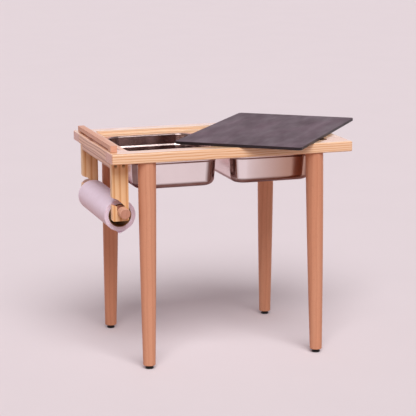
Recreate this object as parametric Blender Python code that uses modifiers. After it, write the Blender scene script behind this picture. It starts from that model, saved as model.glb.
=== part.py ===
"""Sensory play table: a pine top frame with two lift-out steel pans and a loose black lid.

A roll of paper hangs on hook brackets under the left end and feeds under a beech bar on the top. Four
tapered beech legs stand on screw feet. Metres, +Z up, +X along the table, -Y towards the person using it.
The box of the whole object stands on Z = 0 and is centred on X = Y = 0.
"""

import math

import bmesh
import bpy
from mathutils import Matrix, Vector

# Clearances
GAP = 0.0003                  # between two faces that rest on each other
BORE_PLAY = 0.0003            # round each dowel, insert, bolt and screw

# Steel pans, each half of the standard food-pan size
PAN_RIM_X = 0.265
PAN_RIM_Y = 0.325
PAN_DEPTH = 0.100
PAN_SHEET = 0.0008
PAN_FLANGE = 0.011            # rim edge to the inside of the wall
PAN_LIP = 0.0045              # height of the turned-down edge
PAN_LIP_BEND = 0.002
PAN_MOUTH_BEND = 0.004
PAN_RIM_CORNER = 0.028
PAN_BODY_CORNER = 0.040
PAN_FLOOR_BEND = 0.018
PAN_DRAFT = 4.5               # degrees
PAN_SHOULDER_DROP = 0.018     # stacking shoulder below the rim
PAN_SHOULDER_STEP = 0.0015
PAN_SPACING = 0.011           # between the two rims
PAN_SIDE_PLAY = 0.0105        # left pan's rim to the end of its rebate
PAN_FRONT_PLAY = 0.001        # rim to the front and back of its rebate
PAN_BODY_PLAY = 0.002         # how far the ledge stays back from the inside of the wall
PAN_SLACK = 0.032             # free length of the rebate beyond the two rims

# Pine top frame
HEIGHT = 0.586                # floor to the top of the frame
FRAME_THICKNESS = 0.028
FRAME_ROUND = 0.004
BORDER_X = 0.053              # frame end to lid recess
BORDER_Y = 0.044              # frame front or back to lid recess
LID_LEDGE = 0.0145            # step that carries the lid at the front and back
END_STEP = 0.001              # lid recess beyond the pan rebate at each end
PAN_SINK = 0.0055             # pan rim below the lid's ledge
RECESS_CORNER = 0.012
FRAME_DOWEL_D = 0.008
FRAME_DOWEL_LENGTH = 0.040
FRAME_DOWEL_UP = 0.017        # dowel axis above the underside
FRAME_DOWEL_INSETS = {"outer": 0.024, "inner": 0.042}

# Lid
LID_THICKNESS = 0.008
LID_CORNER = 0.010
LID_ROUND = 0.0008
LID_PLAY = 0.002              # all round, when the lid lies in its recess
LID_SINK = 0.0005             # below the frame top, when the lid lies in its recess
LID_AT_X = 0.175              # centre of the lid as it lies askew on the frame
LID_AT_Y = 0.007
LID_TURN = 53.0               # degrees, its length from +X

# Legs and feet
LEG_TOP_D = 0.048
LEG_FOOT_D = 0.033
LEG_TAPER = 1.6               # power of the taper: full at the top, quicker towards the foot
LEG_INSET_X = 0.100           # leg axis at the frame's underside, from the frame's end
LEG_INSET_Y = 0.028           # and from its front or back
LEG_LEAN_X = 0.4              # degrees outwards
LEG_LEAN_Y = 1.5
BOLT_D = 0.008
BOLT_IN_LEG = 0.038
BOLT_IN_FRAME = 0.017
INSERT_D = 0.012
INSERT_LENGTH = 0.018
INSERT_SINK = 0.001
FOOT_HEIGHT = 0.009
FOOT_D = 0.022
FOOT_NECK_D = 0.015
FOOT_FLANGE = 0.0045          # height of the wide part of the foot
STUD_D = 0.008
STUD_LENGTH = 0.024
STUD_BURIED = 0.006           # length of the stud inside the foot

# Paper bar
BAR_WIDTH = 0.018
BAR_HEIGHT = 0.017
BAR_LENGTH = 0.370
BAR_FOOT = 0.027              # length of each end that touches the frame
BAR_SLOT = 0.0055             # height of the paper slot
BAR_INSET = 0.005             # from the frame's left end
BAR_DOWEL_D = 0.006
BAR_DOWEL_LENGTH = 0.024
BAR_DOWEL_INSETS = {"outer": 0.007, "inner": 0.018}

# Hook brackets, with the slot measured from the rod's axis
BRACKET_WIDTH = 0.045
BRACKET_THICKNESS = 0.018
BRACKET_DROP = 0.1585         # below the frame
BRACKET_INSET = 0.0095        # from the frame's left end
BRACKET_CORNER = 0.0055
SEAT_FROM_RIGHT = 0.0178      # rod axis from the bracket's right edge
SEAT_UP = 0.0253              # rod axis above the bracket's lower end
SLOT_PLAY = 0.0003            # round the rod's neck
ENTRY_UP = 0.0387             # upper corner of the slot's mouth
ENTRY_SLOPE = 20.5            # degrees, roof of the entry
ENTRY_BEND = 0.012            # radius between the roof's two slopes
FALL_UP = 0.0216              # roof of the fall, straight above the rod's axis
FALL_SLOPE = 43.0             # degrees, roof and floor of the fall
FALL_BEND = 0.005             # radius between the roof and the seat's right wall
LIP_BACK = 0.0140             # upright inner face of the hook's lip, left of the rod's axis
LIP_UP = 0.0150               # inner edge of the lip
TIP_UP = 0.0203               # outer edge of the lip
LIP_ROUND = 0.003
MOUTH_ROUND = 0.004
SCREW_D = 0.0045
SCREW_HEAD_D = 0.008
SCREW_HEAD_LENGTH = 0.003
SCREW_HEAD_DOWN = 0.0085      # outer end of the head, along the screw from the frame's underside
SCREW_IN_FRAME = 0.013        # along the screw
SCREW_TILT = 38.0             # degrees from upright
SCREW_INSETS = {"left": 0.0110, "right": 0.0325}

# Cleat between the upper ends of the brackets
CLEAT_WIDTH = 0.018
CLEAT_HEIGHT = 0.018
CLEAT_DOWEL_D = 0.006
CLEAT_DOWEL_LENGTH = 0.020
CLEAT_DOWEL_INSET = 0.055     # from each end of the cleat

# Paper roll and its rod
ROLL_LENGTH = 0.300
ROLL_D = 0.085
ROLL_END_PLAY = 0.008         # roll to bracket at each end
CORE_BORE = 0.058
CORE_WALL = 0.002
TAIL_FROM = -58.0             # degrees, where the loose end leaves the roll, seen from the front
TAIL_LENGTH = 0.028
TAIL_THICKNESS = 0.0006
TAIL_CURL = 0.300             # radius of the loose end's slight curl
ROD_D = 0.028                 # body and front knob
BACK_KNOB_D = 0.042
ROD_NECK_D = 0.013
ROD_PLAY = 0.001              # rod shoulder to bracket face
KNOB_LENGTH = 0.031
KNOB_ROUND = 0.002

# Mesh fineness
ROUND_STEPS = 24
SMALL_STEPS = 12
ROLL_STEPS = 40
CORNER_STEPS = 5

# Places worked out from the dimensions above
UNDERSIDE = HEIGHT - FRAME_THICKNESS
PAN_REBATE_X = 2 * PAN_RIM_X + PAN_SLACK
PAN_REBATE_Y = PAN_RIM_Y + 2 * PAN_FRONT_PLAY
RECESS_X = PAN_REBATE_X + 2 * END_STEP
RECESS_Y = PAN_REBATE_Y + 2 * LID_LEDGE
TABLE_LENGTH = RECESS_X + 2 * BORDER_X
TABLE_WIDTH = RECESS_Y + 2 * BORDER_Y
OPENING_X = PAN_REBATE_X - 2 * (PAN_SIDE_PLAY + PAN_FLANGE - PAN_BODY_PLAY)
OPENING_Y = PAN_RIM_Y - 2 * (PAN_FLANGE - PAN_BODY_PLAY)
LID_LENGTH = RECESS_X - 2 * LID_PLAY
LID_WIDTH = RECESS_Y - 2 * LID_PLAY
RECESS_FLOOR = HEIGHT - LID_THICKNESS - LID_SINK
PAN_RIM_TOP = RECESS_FLOOR - PAN_SINK
PAN_LEDGE = PAN_RIM_TOP - PAN_LIP - GAP
PAN_LEFT_X = -PAN_REBATE_X / 2 + PAN_SIDE_PLAY + PAN_RIM_X / 2
PAN_RIGHT_X = PAN_LEFT_X + PAN_RIM_X + PAN_SPACING
LEG_X = TABLE_LENGTH / 2 - LEG_INSET_X
LEG_Y = TABLE_WIDTH / 2 - LEG_INSET_Y
LEG_TOP = UNDERSIDE - GAP
LEG_END = FOOT_HEIGHT + GAP
LEG_LENGTH = LEG_TOP - LEG_END
BAR_X = -TABLE_LENGTH / 2 + BAR_INSET + BAR_WIDTH / 2
BRACKET_LEFT = -TABLE_LENGTH / 2 + BRACKET_INSET
BRACKET_END = UNDERSIDE - BRACKET_DROP
BRACKET_INNER = ROLL_LENGTH / 2 + ROLL_END_PLAY
BRACKET_Y = BRACKET_INNER + BRACKET_THICKNESS / 2
ROD_X = BRACKET_LEFT + BRACKET_WIDTH - SEAT_FROM_RIGHT
ROD_Z = BRACKET_END + SEAT_UP
ROLL_Z = ROD_Z - (CORE_BORE - ROD_D) / 2 + GAP
CORNERS = {"front_left": (-1, -1), "front_right": (1, -1), "back_left": (-1, 1), "back_right": (1, 1)}
SIDES = {"front": -1, "back": 1}


def clear_scene():
    """Remove every object of the open scene."""
    for obj in list(bpy.data.objects):
        bpy.data.objects.remove(obj, do_unlink=True)


def new_collection(name):
    """Make a collection in the scene."""
    collection = bpy.data.collections.new(name)
    bpy.context.scene.collection.children.link(collection)
    return collection


def new_material(name, colour, roughness, metallic=0.0):
    """Make a Principled material from a linear colour."""
    material = bpy.data.materials.new(name)
    material.use_nodes = True
    shader = material.node_tree.nodes["Principled BSDF"]
    shader.inputs["Base Color"].default_value = (*colour, 1.0)
    shader.inputs["Roughness"].default_value = roughness
    shader.inputs["Metallic"].default_value = metallic
    return material


class Workshop:
    """Collections, materials and the root empty that every piece is parented to."""

    def __init__(self):
        self.parts = new_collection("sensory_play_table")
        self.cutters = new_collection("cutters")
        self.root = bpy.data.objects.new("table_root", None)
        self.parts.objects.link(self.root)
        self.pine = new_material("pine", (0.82, 0.50, 0.30), 0.55)
        self.beech = new_material("beech", (0.56, 0.26, 0.16), 0.50)
        self.steel = new_material("stainless_steel", (0.62, 0.58, 0.57), 0.28, 1.0)
        self.board = new_material("black_board", (0.022, 0.020, 0.022), 0.62)
        self.paper = new_material("white_paper", (0.78, 0.74, 0.76), 0.85)
        self.card = new_material("cardboard", (0.30, 0.15, 0.07), 0.90)
        self.zinc = new_material("zinc_plated_steel", (0.55, 0.55, 0.53), 0.35, 1.0)
        self.black = new_material("black_plastic", (0.015, 0.015, 0.016), 0.50)

    def add(self, name, mesh, material, place):
        """Put a mesh into the table as a named piece, placed by a matrix."""
        obj = bpy.data.objects.new(name, mesh)
        self.parts.objects.link(obj)
        mesh.materials.clear()
        mesh.materials.append(material)
        obj.parent = self.root
        obj.matrix_basis = place
        return obj

    def add_cutter(self, name, mesh):
        """Put a mesh among the cutters, which are not pieces."""
        obj = bpy.data.objects.new(name, mesh)
        self.cutters.objects.link(obj)
        obj.parent = self.root
        obj.hide_render = True
        obj.display_type = "WIRE"
        return obj

    def add_fasteners(self, mesh, bore, material, places, pieces):
        """Put one fastener at each named place and bore the given pieces for them all."""
        for name, place in places.items():
            self.add(name, mesh, material, place)
        cutter = self.add_cutter(f"{mesh.name}_bores", copies(bore, places.values()))
        for piece in pieces:
            cut(piece, cutter)


def at(x, y, z):
    """Matrix that moves to a place."""
    return Matrix.Translation((x, y, z))


def cut(obj, cutter, operation="DIFFERENCE"):
    """Add a Boolean to a piece."""
    boolean = obj.modifiers.new(cutter.name, "BOOLEAN")
    boolean.operation = operation
    boolean.object = cutter
    boolean.solver = "EXACT"


def finished(bm, name):
    """Turn a bmesh into a mesh with smooth faces and sharp edges."""
    mesh = bpy.data.meshes.new(name)
    bm.to_mesh(mesh)
    bm.free()
    mesh.shade_smooth()
    mesh.set_sharp_from_angle(angle=math.radians(35))
    return mesh


def baked(obj):
    """Take an object's evaluated mesh, weld it and remove the object."""
    name = obj.name
    bpy.context.scene.collection.objects.link(obj)
    bpy.context.view_layer.update()
    evaluated = obj.evaluated_get(bpy.context.evaluated_depsgraph_get())
    bm = bmesh.new()
    bm.from_mesh(bpy.data.meshes.new_from_object(evaluated))
    bpy.data.objects.remove(obj, do_unlink=True)
    bmesh.ops.remove_doubles(bm, verts=bm.verts, dist=0.000001)
    return finished(bm, name)


def box(name, low, high, rounded=None, radius=FRAME_ROUND):
    """Box between two corners, with the edges whose midpoints pass a test rounded."""
    low, high = Vector(low), Vector(high)
    bm = bmesh.new()
    bmesh.ops.create_cube(bm, size=1.0)
    place = Matrix.Translation((low + high) / 2) @ Matrix.Diagonal((*(high - low), 1.0))
    bmesh.ops.transform(bm, matrix=place, verts=bm.verts)
    if rounded:
        edges = [edge for edge in bm.edges if rounded((edge.verts[0].co + edge.verts[1].co) / 2)]
        bmesh.ops.bevel(bm, geom=edges, offset=radius, segments=2, affect="EDGES", profile=0.5)
    return finished(bm, name)


def turned(name, profile, steps, closed=False):
    """Mesh of (radius, height) points, run from the top down the outer side, turned about Z."""
    mesh = bpy.data.meshes.new(name)
    count = len(profile)
    edges = [(index, index + 1) for index in range(count - 1)]
    if closed:
        edges.append((count - 1, 0))
    mesh.from_pydata([(radius, 0.0, height) for radius, height in profile], edges, [])
    obj = bpy.data.objects.new(name, mesh)
    screw = obj.modifiers.new("Turn", "SCREW")
    screw.steps = steps
    screw.render_steps = steps
    screw.use_merge_vertices = True
    screw.merge_threshold = 0.00001
    return baked(obj)


def pin(name, diameter, length, play=0.0):
    """Round pin about Z with its middle at Z = 0, or the bore for it when there is play."""
    radius, half = diameter / 2 + play, length / 2 + play
    return turned(name, [(0, half), (radius, half), (radius, -half), (0, -half)], SMALL_STEPS)


def extruded(name, outlines, thickness):
    """Mesh of closed outlines in XY, the later ones holes in the first, as thick along Z."""
    curve = bpy.data.curves.new(name, "CURVE")
    curve.dimensions = "2D"
    curve.fill_mode = "BOTH"
    curve.extrude = thickness / 2
    for outline in outlines:
        spline = curve.splines.new("POLY")
        spline.points.add(len(outline) - 1)
        for point, place in zip(spline.points, outline):
            point.co = (place[0], place[1], 0.0, 1.0)
        spline.use_cyclic_u = True
    return baked(bpy.data.objects.new(name, curve))


def copies(mesh, places):
    """One mesh that holds a separate copy of a cutter at each place."""
    bm = bmesh.new()
    for place in places:
        copy = mesh.copy()
        copy.transform(place)
        bm.from_mesh(copy)
        bpy.data.meshes.remove(copy)
    return finished(bm, mesh.name)


def arc(centre, radius, start, end, steps):
    """Points on an arc between two angles in degrees."""
    angles = [math.radians(start + (end - start) * step / steps) for step in range(steps + 1)]
    return [Vector((centre[0] + radius * math.cos(a), centre[1] + radius * math.sin(a))) for a in angles]


def rounded_corner(before, point, after, radius):
    """Arc that rounds the corner of an outline at a point."""
    to_before = (before - point).normalized()
    to_after = (after - point).normalized()
    half = math.acos(max(-1.0, min(1.0, to_before.dot(to_after)))) / 2
    centre = point + (to_before + to_after).normalized() * (radius / math.sin(half))
    first = point + to_before * (radius / math.tan(half)) - centre
    last = point + to_after * (radius / math.tan(half)) - centre
    start = math.degrees(math.atan2(first.y, first.x))
    sweep = math.degrees(math.atan2(last.y, last.x)) - start
    sweep = (sweep + 180.0) % 360.0 - 180.0
    return arc(centre, radius, start, start + sweep, CORNER_STEPS)


def filleted(corners):
    """Outline through (point, radius) corners, each rounded by its own radius, without repeated points."""
    outline = []
    for index, (point, radius) in enumerate(corners):
        points = [point]
        if radius > 0:
            before = corners[index - 1][0]
            after = corners[(index + 1) % len(corners)][0]
            points = rounded_corner(before, point, after, radius)
        outline.extend(p for p in points if not outline or (p - outline[-1]).length > 0.00001)
    return outline


def rounded_rectangle(size_x, size_y, radius):
    """Points round a rectangle with round corners, anticlockwise, the same number at any size."""
    x, y = size_x / 2 - radius, size_y / 2 - radius
    centres = ((x, y), (-x, y), (-x, -y), (x, -y))
    outline = []
    for quarter, centre in enumerate(centres):
        outline.extend(arc(centre, radius, 90 * quarter, 90 * quarter + 90, CORNER_STEPS))
    return outline


def slab(name, size_x, size_y, low, high, corner, edge_round=0.0):
    """Plate with round corners and, if asked, eased edges."""
    bm = bmesh.new()
    face = bm.faces.new([bm.verts.new((p.x, p.y, low)) for p in rounded_rectangle(size_x, size_y, corner)])
    top = bmesh.ops.extrude_face_region(bm, geom=[face], use_keep_orig=True)
    raised = [item for item in top["geom"] if isinstance(item, bmesh.types.BMVert)]
    bmesh.ops.translate(bm, verts=raised, vec=(0, 0, high - low))
    bmesh.ops.recalc_face_normals(bm, faces=bm.faces)
    if edge_round:
        level = [edge for edge in bm.edges if abs(edge.verts[0].co.z - edge.verts[1].co.z) < GAP]
        bmesh.ops.bevel(bm, geom=level, offset=edge_round, segments=1, affect="EDGES", profile=0.5)
    return finished(bm, name)


def pan_profile():
    """Rings of a pan from its lip to its floor: (inset from the rim, height, corner radius).

    The rings follow the upper and inner face: lip, bend, flange, mouth bend, shoulder, wall, floor bend.
    """
    lean = math.tan(math.radians(PAN_DRAFT))
    rings = [(0.0, -PAN_LIP, PAN_RIM_CORNER)]
    for point in arc((PAN_LIP_BEND, -PAN_LIP_BEND), PAN_LIP_BEND, 180, 90, 2):
        rings.append((point.x, point.y, PAN_RIM_CORNER))
    mouth = PAN_FLANGE - PAN_MOUTH_BEND
    for point in arc((mouth, -PAN_MOUTH_BEND), PAN_MOUTH_BEND, 90, 0, 3):
        rings.append((point.x, point.y, PAN_BODY_CORNER))
    shoulder = PAN_FLANGE + lean * (PAN_SHOULDER_DROP - PAN_MOUTH_BEND)
    below = PAN_SHOULDER_DROP + PAN_SHOULDER_STEP
    rings.append((shoulder, -PAN_SHOULDER_DROP, PAN_BODY_CORNER))
    rings.append((shoulder + PAN_SHOULDER_STEP, -below, PAN_BODY_CORNER))
    floor = -PAN_DEPTH + PAN_SHEET
    turn_z = floor + PAN_FLOOR_BEND
    wall_end = shoulder + PAN_SHOULDER_STEP + lean * (-turn_z - below)
    for point in arc((wall_end + PAN_FLOOR_BEND, turn_z), PAN_FLOOR_BEND, 180, 270, CORNER_STEPS):
        rings.append((point.x, point.y, PAN_BODY_CORNER - (point.x - wall_end)))
    return rings


def pan_mesh(name):
    """Drawn pan as a loft of rounded rectangles, thickened away from its inner face."""
    bm = bmesh.new()
    previous = None
    for inset, height, corner in pan_profile():
        outline = rounded_rectangle(PAN_RIM_X - 2 * inset, PAN_RIM_Y - 2 * inset, corner)
        ring = [bm.verts.new((p.x, p.y, height)) for p in outline]
        if previous:
            for index in range(len(ring)):
                after = (index + 1) % len(ring)
                bm.faces.new((previous[index], previous[after], ring[after], ring[index]))
        previous = ring
    bm.faces.new(previous)
    obj = bpy.data.objects.new(name, finished(bm, name))
    wall = obj.modifiers.new("Sheet", "SOLIDIFY")
    wall.thickness = PAN_SHEET
    wall.offset = -1.0
    wall.use_even_offset = True
    return baked(obj)


def make_frame(shop):
    """Four rails with the stepped recess for lid and pans, and the dowels of their butt joints."""
    long_half, wide_half, inner = TABLE_LENGTH / 2, TABLE_WIDTH / 2, OPENING_Y / 2
    butt = inner - GAP
    near = GAP / 10

    def outer_edge(middle):
        """Tell the outside edges, which are rounded, from those of the butt joints."""
        on_side = abs(abs(middle.y) - wide_half) < near
        on_end = abs(abs(middle.x) - long_half) < near
        at_joint = abs(abs(middle.y) - inner) < near or abs(abs(middle.y) - butt) < near
        return (on_side or on_end) and not at_joint

    corners = {
        "front_rail": ((-long_half, -wide_half, UNDERSIDE), (long_half, -inner, HEIGHT)),
        "back_rail": ((-long_half, inner, UNDERSIDE), (long_half, wide_half, HEIGHT)),
        "left_rail": ((-long_half, -butt, UNDERSIDE), (-OPENING_X / 2, butt, HEIGHT)),
        "right_rail": ((OPENING_X / 2, -butt, UNDERSIDE), (long_half, butt, HEIGHT)),
    }
    above = HEIGHT + FRAME_THICKNESS
    recess = slab("lid_recess", RECESS_X, RECESS_Y, RECESS_FLOOR, above, RECESS_CORNER)
    rebate = slab("pan_rebate", PAN_REBATE_X, PAN_REBATE_Y, PAN_LEDGE, above - GAP, RECESS_CORNER)
    steps = [shop.add_cutter("lid_recess", recess), shop.add_cutter("pan_rebate", rebate)]
    rails = {}
    for name, (low, high) in corners.items():
        rails[name] = shop.add(name, box(name, low, high, outer_edge), shop.pine, Matrix())
        for step in steps:
            cut(rails[name], step)
    lying = Matrix.Rotation(math.pi / 2, 4, "X")
    height = UNDERSIDE + FRAME_DOWEL_UP
    places = {}
    for corner, (side_x, side_y) in CORNERS.items():
        for which, inset in FRAME_DOWEL_INSETS.items():
            place = at(side_x * (long_half - inset), side_y * (inner - GAP / 2), height) @ lying
            places[f"frame_dowel_{corner}_{which}"] = place
    dowel = pin("frame_dowel", FRAME_DOWEL_D, FRAME_DOWEL_LENGTH)
    bore = pin("frame_dowel_bore", FRAME_DOWEL_D, FRAME_DOWEL_LENGTH, BORE_PLAY)
    shop.add_fasteners(dowel, bore, shop.beech, places, rails.values())
    return rails


def make_pans(shop):
    """Two pans that hang by their rims, set along the rebate with room between and beside them."""
    for name, x in (("pan_left", PAN_LEFT_X), ("pan_right", PAN_RIGHT_X)):
        shop.add(name, pan_mesh(name), shop.steel, at(x, 0, PAN_RIM_TOP))


def make_lid(shop):
    """Lid laid askew on the frame, its origin under its centre."""
    mesh = slab("lid", LID_LENGTH, LID_WIDTH, 0.0, LID_THICKNESS, LID_CORNER, LID_ROUND)
    turn = Matrix.Rotation(math.radians(LID_TURN), 4, "Z")
    shop.add("lid", mesh, shop.board, at(LID_AT_X, LID_AT_Y, HEIGHT + GAP) @ turn)


def leg_profile():
    """Taper of a leg, from a little above its upper end to a little below its lower end."""
    spare = LEG_TOP_D / 8
    rings = 8
    profile = [(0.0, spare)]
    for ring in range(rings):
        share = ring / (rings - 1)
        radius = LEG_TOP_D / 2 - (LEG_TOP_D - LEG_FOOT_D) / 2 * share ** LEG_TAPER
        profile.append((radius, spare - share * (LEG_LENGTH + 2 * spare)))
    profile.append((0.0, profile[-1][1]))
    return profile


def make_legs(shop, rails):
    """Leaning legs with level ends, each on a hanger bolt in a threaded insert, on a screw foot."""
    mesh = turned("leg", leg_profile(), ROUND_STEPS)
    reach = max(TABLE_LENGTH, TABLE_WIDTH)
    trim = shop.add_cutter("leg_trim", box("leg_trim", (-reach, -reach, LEG_END), (reach, reach, LEG_TOP)))
    lean_x, lean_y = math.tan(math.radians(LEG_LEAN_X)), math.tan(math.radians(LEG_LEAN_Y))
    legs, tops, feet = [], {}, {}
    for corner, (side_x, side_y) in CORNERS.items():
        top = Vector((side_x * LEG_X, side_y * LEG_Y, LEG_TOP))
        axis = Vector((side_x * lean_x, side_y * lean_y, -1.0))
        lean = Vector((0, 0, 1)).rotation_difference(-axis).to_matrix().to_4x4()
        leg = shop.add(f"leg_{corner}", mesh.copy(), shop.beech, Matrix.Translation(top) @ lean)
        cut(leg, trim, "INTERSECT")
        legs.append(leg)
        tops[corner] = at(top.x, top.y, UNDERSIDE)
        foot = top + axis * LEG_LENGTH
        feet[corner] = at(foot.x, foot.y, 0.0)
    make_leg_bolts(shop, [rails["front_rail"], rails["back_rail"], *legs], tops)
    make_feet(shop, legs, feet)


def insert_mesh(name, inner_d):
    """Threaded insert as a plain sleeve, its lower end at Z = 0."""
    inner, outer = inner_d / 2 + BORE_PLAY, INSERT_D / 2
    profile = [(inner, INSERT_LENGTH), (outer, INSERT_LENGTH), (outer, 0.0), (inner, 0.0)]
    return turned(name, profile, SMALL_STEPS, closed=True)


def make_leg_bolts(shop, pieces, tops):
    """Hanger bolts between legs and frame, with their inserts, measured from the frame's underside."""
    radius, end = BOLT_D / 2, -BOLT_IN_LEG
    profile = [(0, BOLT_IN_FRAME), (radius, BOLT_IN_FRAME), (radius, end + radius), (radius / 2, end), (0, end)]
    bolt = turned("leg_bolt", profile, SMALL_STEPS)
    insert = insert_mesh("leg_insert", BOLT_D)
    for corner, place in tops.items():
        shop.add(f"leg_insert_{corner}", insert, shop.zinc, place @ at(0, 0, INSERT_SINK))
    wide, slim = INSERT_D / 2 + BORE_PLAY, radius + BORE_PLAY
    high, step, low = INSERT_SINK + INSERT_LENGTH + BORE_PLAY, -GAP / 2, end - BORE_PLAY
    stepped = [(0, high), (wide, high), (wide, step), (slim, step), (slim, low), (0, low)]
    bore = turned("leg_bolt_bore", stepped, SMALL_STEPS)
    places = {f"leg_bolt_{corner}": place for corner, place in tops.items()}
    shop.add_fasteners(bolt, bore, shop.zinc, places, pieces)


def make_feet(shop, legs, feet):
    """Black screw feet: a pad on a stud that turns in an insert in the leg's lower end."""
    wide, neck, stud = FOOT_D / 2, FOOT_NECK_D / 2, STUD_D / 2
    ease = FOOT_FLANGE / 4
    seat = FOOT_HEIGHT - STUD_BURIED
    socket = stud + BORE_PLAY
    pad = turned("foot", [(0, seat), (socket, seat), (socket, FOOT_HEIGHT), (neck, FOOT_HEIGHT),
                          (neck, FOOT_FLANGE + ease), (wide - ease, FOOT_FLANGE), (wide, FOOT_FLANGE - ease),
                          (wide, ease), (wide - ease, 0), (0, 0)], ROUND_STEPS)
    low, high = seat + GAP, seat + GAP + STUD_LENGTH
    thread = [(0, high), (stud - ease, high), (stud, high - ease), (stud, low), (0, low)]
    stud_mesh = turned("foot_stud", thread, SMALL_STEPS)
    for corner, place in feet.items():
        shop.add(f"foot_{corner}", pad, shop.black, place)
        shop.add(f"foot_stud_{corner}", stud_mesh, shop.zinc, place)
    base = LEG_END + INSERT_SINK
    radius = INSERT_D / 2 + BORE_PLAY
    top = max(base + INSERT_LENGTH, high) + BORE_PLAY - base
    mouth = FOOT_HEIGHT - base
    bore = turned("foot_bore", [(0, top), (radius, top), (radius, mouth), (0, mouth)], SMALL_STEPS)
    places = {f"foot_insert_{corner}": place @ at(0, 0, base) for corner, place in feet.items()}
    shop.add_fasteners(insert_mesh("foot_insert", STUD_D), bore, shop.zinc, places, legs)


def make_paper_bar(shop, rails):
    """Bar over the left end, raised between its two ends so that paper slides under it."""
    half, inner = BAR_LENGTH / 2, BAR_LENGTH / 2 - BAR_FOOT
    side = [(-half, 0), (-inner, 0), (-inner, BAR_SLOT), (inner, BAR_SLOT), (inner, 0), (half, 0),
            (half, BAR_HEIGHT), (-half, BAR_HEIGHT)]
    along = Matrix.Rotation(math.pi / 2, 4, "Z") @ Matrix.Rotation(math.pi / 2, 4, "X")
    mesh = extruded("paper_bar", [side], BAR_WIDTH)
    bar = shop.add("paper_bar", mesh, shop.beech, at(BAR_X, 0, HEIGHT + GAP) @ along)
    places = {}
    for end, side_y in SIDES.items():
        for which, inset in BAR_DOWEL_INSETS.items():
            places[f"paper_bar_dowel_{end}_{which}"] = at(BAR_X, side_y * (half - inset), HEIGHT)
    dowel = pin("paper_bar_dowel", BAR_DOWEL_D, BAR_DOWEL_LENGTH)
    bore = pin("paper_bar_dowel_bore", BAR_DOWEL_D, BAR_DOWEL_LENGTH, BORE_PLAY)
    shop.add_fasteners(dowel, bore, shop.beech, places, [bar, *rails.values()])


def hook_outline():
    """Front view of a hook bracket, from its lower left corner.

    The slot starts at the left edge, runs under a roof that falls in two slopes, and drops behind a lip to
    the seat, an arc about the rod's axis. The seat's left wall falls as steeply as the roof and touches
    that arc.
    """
    top = BRACKET_DROP - GAP
    half = ROD_NECK_D / 2 + SLOT_PLAY
    seat = Vector((BRACKET_WIDTH - SEAT_FROM_RIGHT, SEAT_UP))
    entry_fall = math.tan(math.radians(ENTRY_SLOPE))
    slope = math.radians(FALL_SLOPE)
    fall = math.tan(slope)
    entry_z = seat.y + ENTRY_UP
    roof_z = seat.y + FALL_UP + fall * seat.x
    bend_x = (roof_z - entry_z) / (fall - entry_fall)
    right = seat.x + half
    bottom = seat.y - half
    touch = seat - half * Vector((math.sin(slope), math.cos(slope)))
    lip_x = seat.x - LIP_BACK
    return filleted([
        (Vector((0.0, 0.0)), BRACKET_CORNER),
        (Vector((BRACKET_WIDTH, 0.0)), BRACKET_CORNER),
        (Vector((BRACKET_WIDTH, top)), 0.0),
        (Vector((0.0, top)), 0.0),
        (Vector((0.0, entry_z)), MOUTH_ROUND),
        (Vector((bend_x, entry_z - entry_fall * bend_x)), ENTRY_BEND),
        (Vector((right, roof_z - fall * right)), FALL_BEND),
        (Vector((right, bottom)), half),
        (Vector((touch.x + (touch.y - bottom) / fall, bottom)), half),
        (Vector((lip_x, touch.y + fall * (touch.x - lip_x))), LIP_ROUND),
        (Vector((lip_x, seat.y + LIP_UP)), LIP_ROUND),
        (Vector((0.0, seat.y + TIP_UP)), LIP_ROUND),
    ])


def make_brackets(shop, rails):
    """Two hook brackets under the left end, each held by two slanted screws through its outer face."""
    mesh = extruded("bracket", [hook_outline()], BRACKET_THICKNESS)
    upright = Matrix.Rotation(math.pi / 2, 4, "X")
    pieces = list(rails.values())
    places = {}
    for end, side_y in SIDES.items():
        y = side_y * BRACKET_Y
        place = at(BRACKET_LEFT, y, BRACKET_END) @ upright
        pieces.append(shop.add(f"bracket_{end}", mesh.copy(), shop.pine, place))
        tilt = Matrix.Rotation(math.radians(SCREW_TILT) * side_y, 4, "X")
        for which, inset in SCREW_INSETS.items():
            places[f"bracket_screw_{end}_{which}"] = at(BRACKET_LEFT + inset, y, UNDERSIDE) @ tilt
    shank, head = SCREW_D / 2, SCREW_HEAD_D / 2
    outer = -SCREW_HEAD_DOWN
    inner = outer + SCREW_HEAD_LENGTH
    screw = turned("bracket_screw", [(0, SCREW_IN_FRAME), (shank, SCREW_IN_FRAME - SCREW_D), (shank, inner),
                                     (head, inner), (head, outer), (0, outer)], SMALL_STEPS)
    slim, wide = shank + BORE_PLAY, head + BORE_PLAY
    tip, step, mouth = SCREW_IN_FRAME + BORE_PLAY, inner + BORE_PLAY, outer - BRACKET_THICKNESS
    stepped = [(0, tip), (slim, tip), (slim, step), (wide, step), (wide, mouth), (0, mouth)]
    bore = turned("bracket_screw_bore", stepped, SMALL_STEPS)
    shop.add_fasteners(screw, bore, shop.zinc, places, pieces)


def make_cleat(shop, rails):
    """Strip between the brackets, flush with their left edges and dowelled to the frame's underside."""
    end, top = BRACKET_INNER - GAP, UNDERSIDE - GAP
    low = (BRACKET_LEFT, -end, top - CLEAT_HEIGHT)
    high = (BRACKET_LEFT + CLEAT_WIDTH, end, top)
    cleat = shop.add("bracket_cleat", box("bracket_cleat", low, high), shop.pine, Matrix())
    x = BRACKET_LEFT + CLEAT_WIDTH / 2
    places = {}
    for side, side_y in SIDES.items():
        places[f"cleat_dowel_{side}"] = at(x, side_y * (end - CLEAT_DOWEL_INSET), UNDERSIDE - GAP / 2)
    dowel = pin("cleat_dowel", CLEAT_DOWEL_D, CLEAT_DOWEL_LENGTH)
    bore = pin("cleat_dowel_bore", CLEAT_DOWEL_D, CLEAT_DOWEL_LENGTH, BORE_PLAY)
    shop.add_fasteners(dowel, bore, shop.beech, places, [cleat, *rails.values()])


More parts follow.
